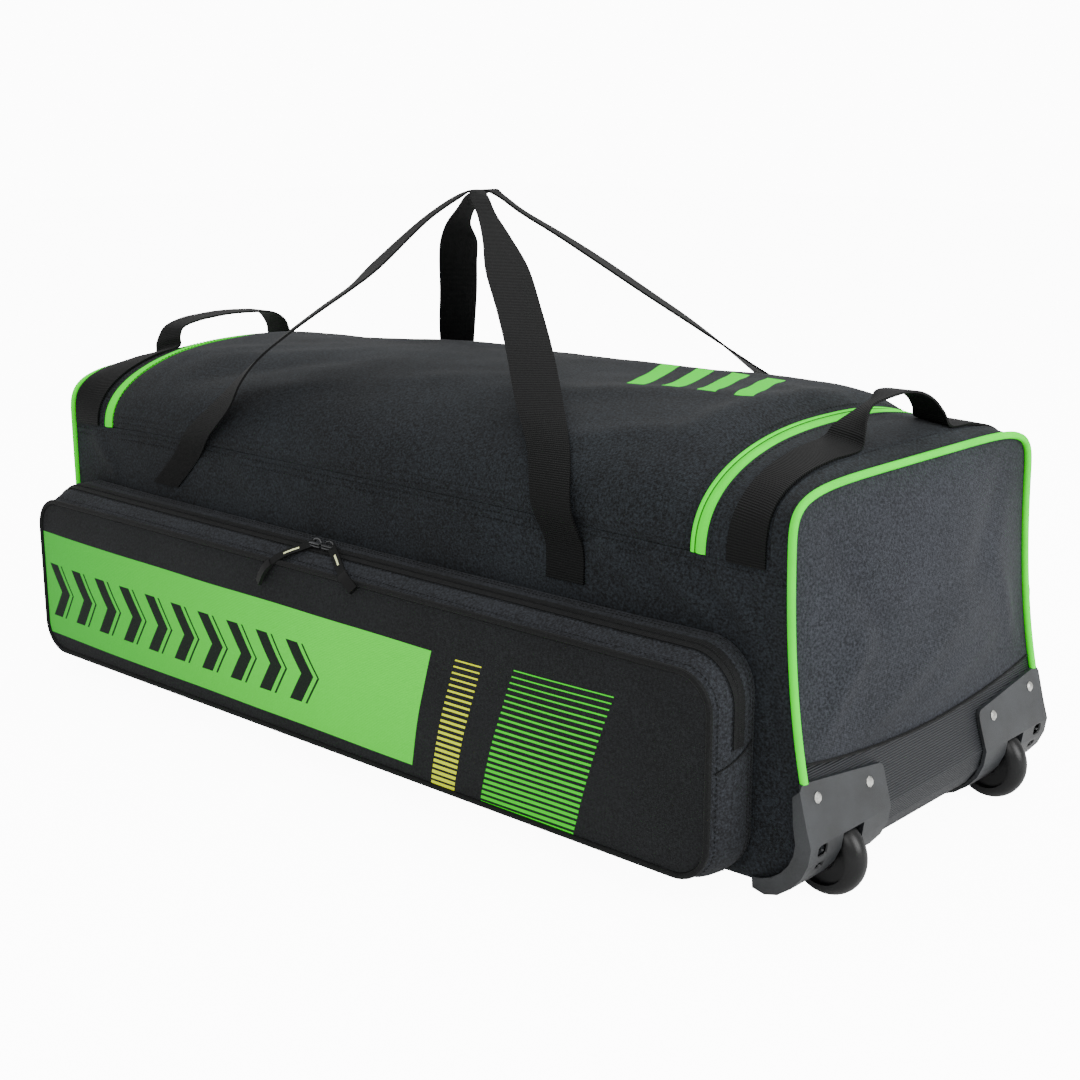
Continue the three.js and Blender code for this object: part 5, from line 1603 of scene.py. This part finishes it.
def gusset_edge_line(place):
    line = []
    first, last = turn_at_height(place, 2), math.pi - turn_at_height(place, 15)
    for s in steps(90):
        turn = lerp(first, last, s)
        out = lid_outward(place, turn)
        line.append((lid_point(place, turn) + out * 0.5, out))
    return line


def on_pocket(side, point, out, lift):
    """A point lifted off the front pocket, or off the back one for that side."""
    if side > 0:
        point, out = to_back(point), to_back(out, 0)
    return (point + out * lift, out)


def pocket_seam_line(side, depth):
    line = []
    shift = pocket_shift(side)
    for i in pocket_zip_stops() if 0.3 < depth < 0.7 else range(len(FACE) + 1):
        point = gusset_point(i, depth, shift)
        out = (point - Vector((-23, point.y, 108))).normalized()
        line.append(on_pocket(side, point, out, 0.6))
    return line


def pocket_join_line(side, low, high):
    """Line across the gusset, where the zip's part joins the plain one."""
    line = []
    shift = pocket_shift(side)
    for depth in steps(12):
        point = gusset_point(lerp(high, low, depth), lerp(0.1, 0.92, depth), shift)
        line.append(on_pocket(side, point, Vector((1 if low < 50 else -1, 0, 0)), 0.9))
    return line


def zip_coil_line(side):
    line = []
    shift = pocket_shift(side)
    for i in pocket_zip_stops():
        point = gusset_point(i, 0.5, shift)
        out = (point - Vector((point.x * 0.9, point.y, 108))).normalized()
        line.append(on_pocket(side, point, out, 1.4))
    return line


def make_stitches(tree):
    """Rows of stitches along the seams and round the pockets, their join seams and zip coils."""
    thread = finish("thread")
    lines = [lid_seam_line(6), lid_seam_line(12), wall_seam_line(-1, 4), wall_seam_line(-1, 9)]
    lines += [back_seam_line(-5), wall_seam_line(1, 4), wall_seam_line(1, 9)]
    for place in (WHEEL_ZIP + ZIP_WIDTH + 4, FAR_ZIP - 4, FAR_ZIP + ZIP_WIDTH + 4, WHEEL_ZIP - 5):
        lines.append(gusset_edge_line(place))
    settle(set_out_along("seam_stitches", lines, tree, thread, 4.4, 3.2, 0.9, 0.7))

    depths = (0.1, 0.2, 0.36, 0.64, 0.9)
    lines = [pocket_seam_line(side, depth) for side in (-1, 1) for depth in depths]
    settle(set_out_along("pocket_stitches", lines, tree, thread, 4.2, 3.0, 0.8, 0.6))

    ends = ((15.6, 16.9), (108.4, 107.1))
    lines = [pocket_join_line(side, low, high) for side in (-1, 1) for low, high in ends]
    joins = set_out_along("pocket_join_seams", lines, tree, finish("trim"), 1.2, 2.0, 1.8, 1.4)
    settle(joins)

    lines = [zip_coil_line(side) for side in (-1, 1)]
    settle(set_out_along("pocket_zip_coil", lines, tree, thread, 1.9, 1.3, 3.6, 1.2))


# Stage


def make_stage(light):
    mesh = bpy.data.meshes.new("floor")
    mesh.from_pydata([(-9, -9, 0), (9, -9, 0), (9, 9, 0), (-9, 9, 0)], [], [(0, 1, 2, 3)])
    floor = placed("floor", mesh)
    material, tree, shader = new_material("pale_floor", 0.9)
    shader.inputs["Base Color"].default_value = colour("#f4f4f4")
    shader.inputs["Emission Color"].default_value = (1, 1, 1, 1)
    seen = put(tree, "ShaderNodeLightPath").outputs["Is Camera Ray"]
    tree.links.new(maths(tree, "MULTIPLY", seen, light.glow), shader.inputs["Emission Strength"])
    mesh.materials.append(material)

    world = bpy.data.worlds.new("studio")
    bpy.context.scene.world = world
    world.use_nodes = True
    # White studio paper: the camera sees it brighter than it lights the bag.
    tree = world.node_tree
    sky = tree.nodes["Background"]
    sky.inputs["Color"].default_value = (1, 1, 1, 1)
    seen = put(tree, "ShaderNodeLightPath").outputs["Is Camera Ray"]
    strength = put(tree, "ShaderNodeMapRange", None, Value=seen)
    strength.inputs["To Min"].default_value = light.sky
    strength.inputs["To Max"].default_value = light.paper
    tree.links.new(strength.outputs[0], sky.inputs["Strength"])

    for name, place, target, size, power in (
        ("key_light", (1.9, -2.4, 2.3), (0, 0, 0.2), 2.2, light.key),
        ("end_light", (2.8, 0.4, 1.3), (0.4, 0, 0.2), 1.6, light.end),
        ("top_light", (-0.3, 0.3, 3.0), (0, 0, 0.2), 2.6, light.top),
    ):
        lamp = bpy.data.lights.new(name, "AREA")
        lamp.energy = power
        lamp.size = size
        obj = placed(name, lamp)
        obj.location = place
        obj.rotation_euler = (Vector(target) - Vector(place)).to_track_quat("-Z", "Y").to_euler()

    lens = bpy.data.cameras.new("camera")
    lens.lens = CAMERA_LENS
    lens.sensor_width = 36
    lens.clip_start = 0.05
    camera = placed("camera", lens)
    x, y, z = CAMERA_PLACE
    camera.location = (x + SHIFT * MM, y, z)
    camera.rotation_euler = (math.radians(90 - CAMERA_TILT), 0, math.radians(CAMERA_TURN))
    bpy.context.scene.camera = camera


# Settings


class BagLooks(bpy.types.PropertyGroup):
    """Colours of the cloth, tape and print."""

    cloth_dark: bpy.props.StringProperty(
        name="Cloth dark", description="Darkest thread, sRGB hex", default="#0a0b0c"
    )
    cloth_light: bpy.props.StringProperty(
        name="Cloth light", description="Lightest thread, sRGB hex", default="#262b30"
    )
    neon_dark: bpy.props.StringProperty(
        name="Neon dark", description="Deep tone of the tape, sRGB hex", default="#1fd000"
    )
    neon: bpy.props.StringProperty(
        name="Neon", description="Bright tone of the tape, sRGB hex", default="#36f808"
    )
    print_green: bpy.props.StringProperty(
        name="Print", description="Printed panel, sRGB hex", default="#4fe634"
    )
    print_green_far: bpy.props.StringProperty(
        name="Print far end", description="Printed panel at the far end, sRGB hex", default="#38bc32"
    )
    bar_green: bpy.props.StringProperty(
        name="Green bars", description="Printed green bars, sRGB hex", default="#24e008"
    )
    bar_yellow: bpy.props.StringProperty(
        name="Yellow bars", description="Printed yellow bars, sRGB hex", default="#e6f200"
    )


class BagSizes(bpy.types.PropertyGroup):
    """Sizes that the cloth and webbing are made to."""

    drape: bpy.props.FloatProperty(
        name="Drape", description="How deep the folds are, as a share", default=1.0, min=0, max=1.5
    )
    strap_width: bpy.props.FloatProperty(
        name="Strap width",
        description="Width of the carry webbing",
        default=0.04,
        min=0.02,
        max=0.05,
        unit="LENGTH",
    )


class BagLight(bpy.types.PropertyGroup):
    """Strength of the studio lights."""

    key: bpy.props.FloatProperty(name="Key", description="Front light", default=50, unit="POWER")
    end: bpy.props.FloatProperty(
        name="End", description="Light on the wheel end", default=75, unit="POWER"
    )
    top: bpy.props.FloatProperty(name="Top", description="Light over the bag", default=50, unit="POWER")
    sky: bpy.props.FloatProperty(name="Sky", description="Even light from all round", default=0.8)
    glow: bpy.props.FloatProperty(
        name="Glow", description="How much whiter the floor looks", default=11.0
    )
    paper: bpy.props.FloatProperty(
        name="Paper", description="Brightness of the background", default=12.0
    )


class BagOperator:
    """Options that all the bag's operators share."""

    bl_options = {"REGISTER", "UNDO"}

    def run(self, context):
        raise NotImplementedError

    def execute(self, context):
        self.run(context)
        return {"FINISHED"}


class MakeFinishes(BagOperator, bpy.types.Operator):
    """Makes every material of the bag"""

    bl_idname = "kit_bag.finishes"
    bl_label = "Finishes"

    def run(self, context):
        make_materials(context.scene.bag_looks)


class MakeStage(BagOperator, bpy.types.Operator):
    """Makes the floor, the lights and the camera"""

    bl_idname = "kit_bag.stage"
    bl_label = "Stage"

    def run(self, context):
        make_stage(context.scene.bag_light)


class MakeWalls(BagOperator, bpy.types.Operator):
    """Makes the long walls and the base"""

    bl_idname = "kit_bag.walls"
    bl_label = "Walls and base"

    def run(self, context):
        make_walls(context.scene.bag_sizes.drape)
        make_base()


class MakeLid(BagOperator, bpy.types.Operator):
    """Makes the lid, the end gussets and the back zip"""

    bl_idname = "kit_bag.lid"
    bl_label = "Lid and gussets"

    def run(self, context):
        drape = context.scene.bag_sizes.drape
        make_lid(drape)
        make_gussets(drape)


class MakeMainZips(BagOperator, bpy.types.Operator):
    """Makes the neon zip strips over the lid's ends"""

    bl_idname = "kit_bag.main_zips"
    bl_label = "Main zips"

    def run(self, context):
        make_main_zips()


class MakeEnds(BagOperator, bpy.types.Operator):
    """Makes the end panels and their piping"""

    bl_idname = "kit_bag.ends"
    bl_label = "End panels"

    def run(self, context):
        make_ends(context.scene.bag_sizes.drape)


class MakeBand(BagOperator, bpy.types.Operator):
    """Makes the ribbed scuff band"""

    bl_idname = "kit_bag.band"
    bl_label = "Scuff band"

    def run(self, context):
        make_band()


class MakeStraps(BagOperator, bpy.types.Operator):
    """Makes the two carry straps"""

    bl_idname = "kit_bag.straps"
    bl_label = "Carry straps"

    def run(self, context):
        width = context.scene.bag_sizes.strap_width / MM
        carry_strap("front_carry_strap", -1, SLACK_LEG, FRONT_STRAP_LEFT, width)
        carry_strap("back_carry_strap", 1, BOWED_LEG, BACK_STRAP_LEFT, width)


class MakeHandles(BagOperator, bpy.types.Operator):
    """Makes the grab handle at each end"""

    bl_idname = "kit_bag.handles"
    bl_label = "End handles"

    def run(self, context):
        end_handle("wheel_end_handle", 414, 62, 80, 33, ARCHED_GRIP, math.radians(-52))
        end_handle("far_end_handle", -440, 77, 84, 33, FLAT_GRIP)


class MakePockets(BagOperator, bpy.types.Operator):
    """Makes the pockets with their zips, sliders and pulls"""

    bl_idname = "kit_bag.pockets"
    bl_label = "Pockets"

    def run(self, context):
        drape = context.scene.bag_sizes.drape
        make_pocket(-1, "front_pocket", drape)
        make_pocket(1, "back_pocket", drape)
        zip_slider("left_zip_slider", "front_pocket_left_slider", -44.5, -1)
        zip_slider("right_zip_slider", "front_pocket_right_slider", -27.5, -1)
        zip_slider("back_zip_slider", "back_pocket_slider", 0, 1)
        zip_pull("left_pull_cord", "front_pocket_left_pull", -1, LEFT_PULL)
        zip_pull("right_pull_cord", "front_pocket_right_pull", -1, RIGHT_PULL)
        zip_pull("back_pull_cord", "back_pocket_pull", 1, BACK_PULL)


class MakeWheels(BagOperator, bpy.types.Operator):
    """Makes the wheels, axles and housings"""

    bl_idname = "kit_bag.wheels"
    bl_label = "Wheels"

    def run(self, context):
        make_wheels()


class MakeStitches(BagOperator, bpy.types.Operator):
    """Sews the seams and sets out the zip coil"""

    bl_idname = "kit_bag.stitches"
    bl_label = "Stitches"

    def run(self, context):
        make_stitches(stitch_tree())


PIECES = (
    MakeFinishes,
    MakeStage,
    MakeWalls,
    MakeLid,
    MakeMainZips,
    MakeEnds,
    MakeBand,
    MakeStraps,
    MakeHandles,
    MakePockets,
    MakeWheels,
    MakeStitches,
)


class BagPanel(bpy.types.Panel):
    """Lists the bag's pieces and settings"""

    bl_idname = "VIEW3D_PT_kit_bag"
    bl_label = "Kit Bag"
    bl_space_type = "VIEW_3D"
    bl_region_type = "UI"
    bl_category = "Kit Bag"

    def draw(self, context):
        scene = context.scene
        for group in (scene.bag_sizes, scene.bag_looks, scene.bag_light):
            for key in group.bl_rna.properties.keys():
                if key not in ("rna_type", "name"):
                    self.layout.prop(group, key)
        for operator in PIECES:
            self.layout.operator(operator.bl_idname)


GROUPS = (("bag_looks", BagLooks), ("bag_sizes", BagSizes), ("bag_light", BagLight))


def register():
    for name, group in GROUPS:
        bpy.utils.register_class(group)
        setattr(bpy.types.Scene, name, bpy.props.PointerProperty(type=group))
    for item in (*PIECES, BagPanel):
        bpy.utils.register_class(item)


def unregister():
    for item in reversed((*PIECES, BagPanel)):
        bpy.utils.unregister_class(item)
    for name, group in reversed(GROUPS):
        delattr(bpy.types.Scene, name)
        bpy.utils.unregister_class(group)


def main():
    register()
    for operator in PIECES:
        group, action = operator.bl_idname.split(".")
        getattr(getattr(bpy.ops, group), action)()


if __name__ == "__main__":
    main()
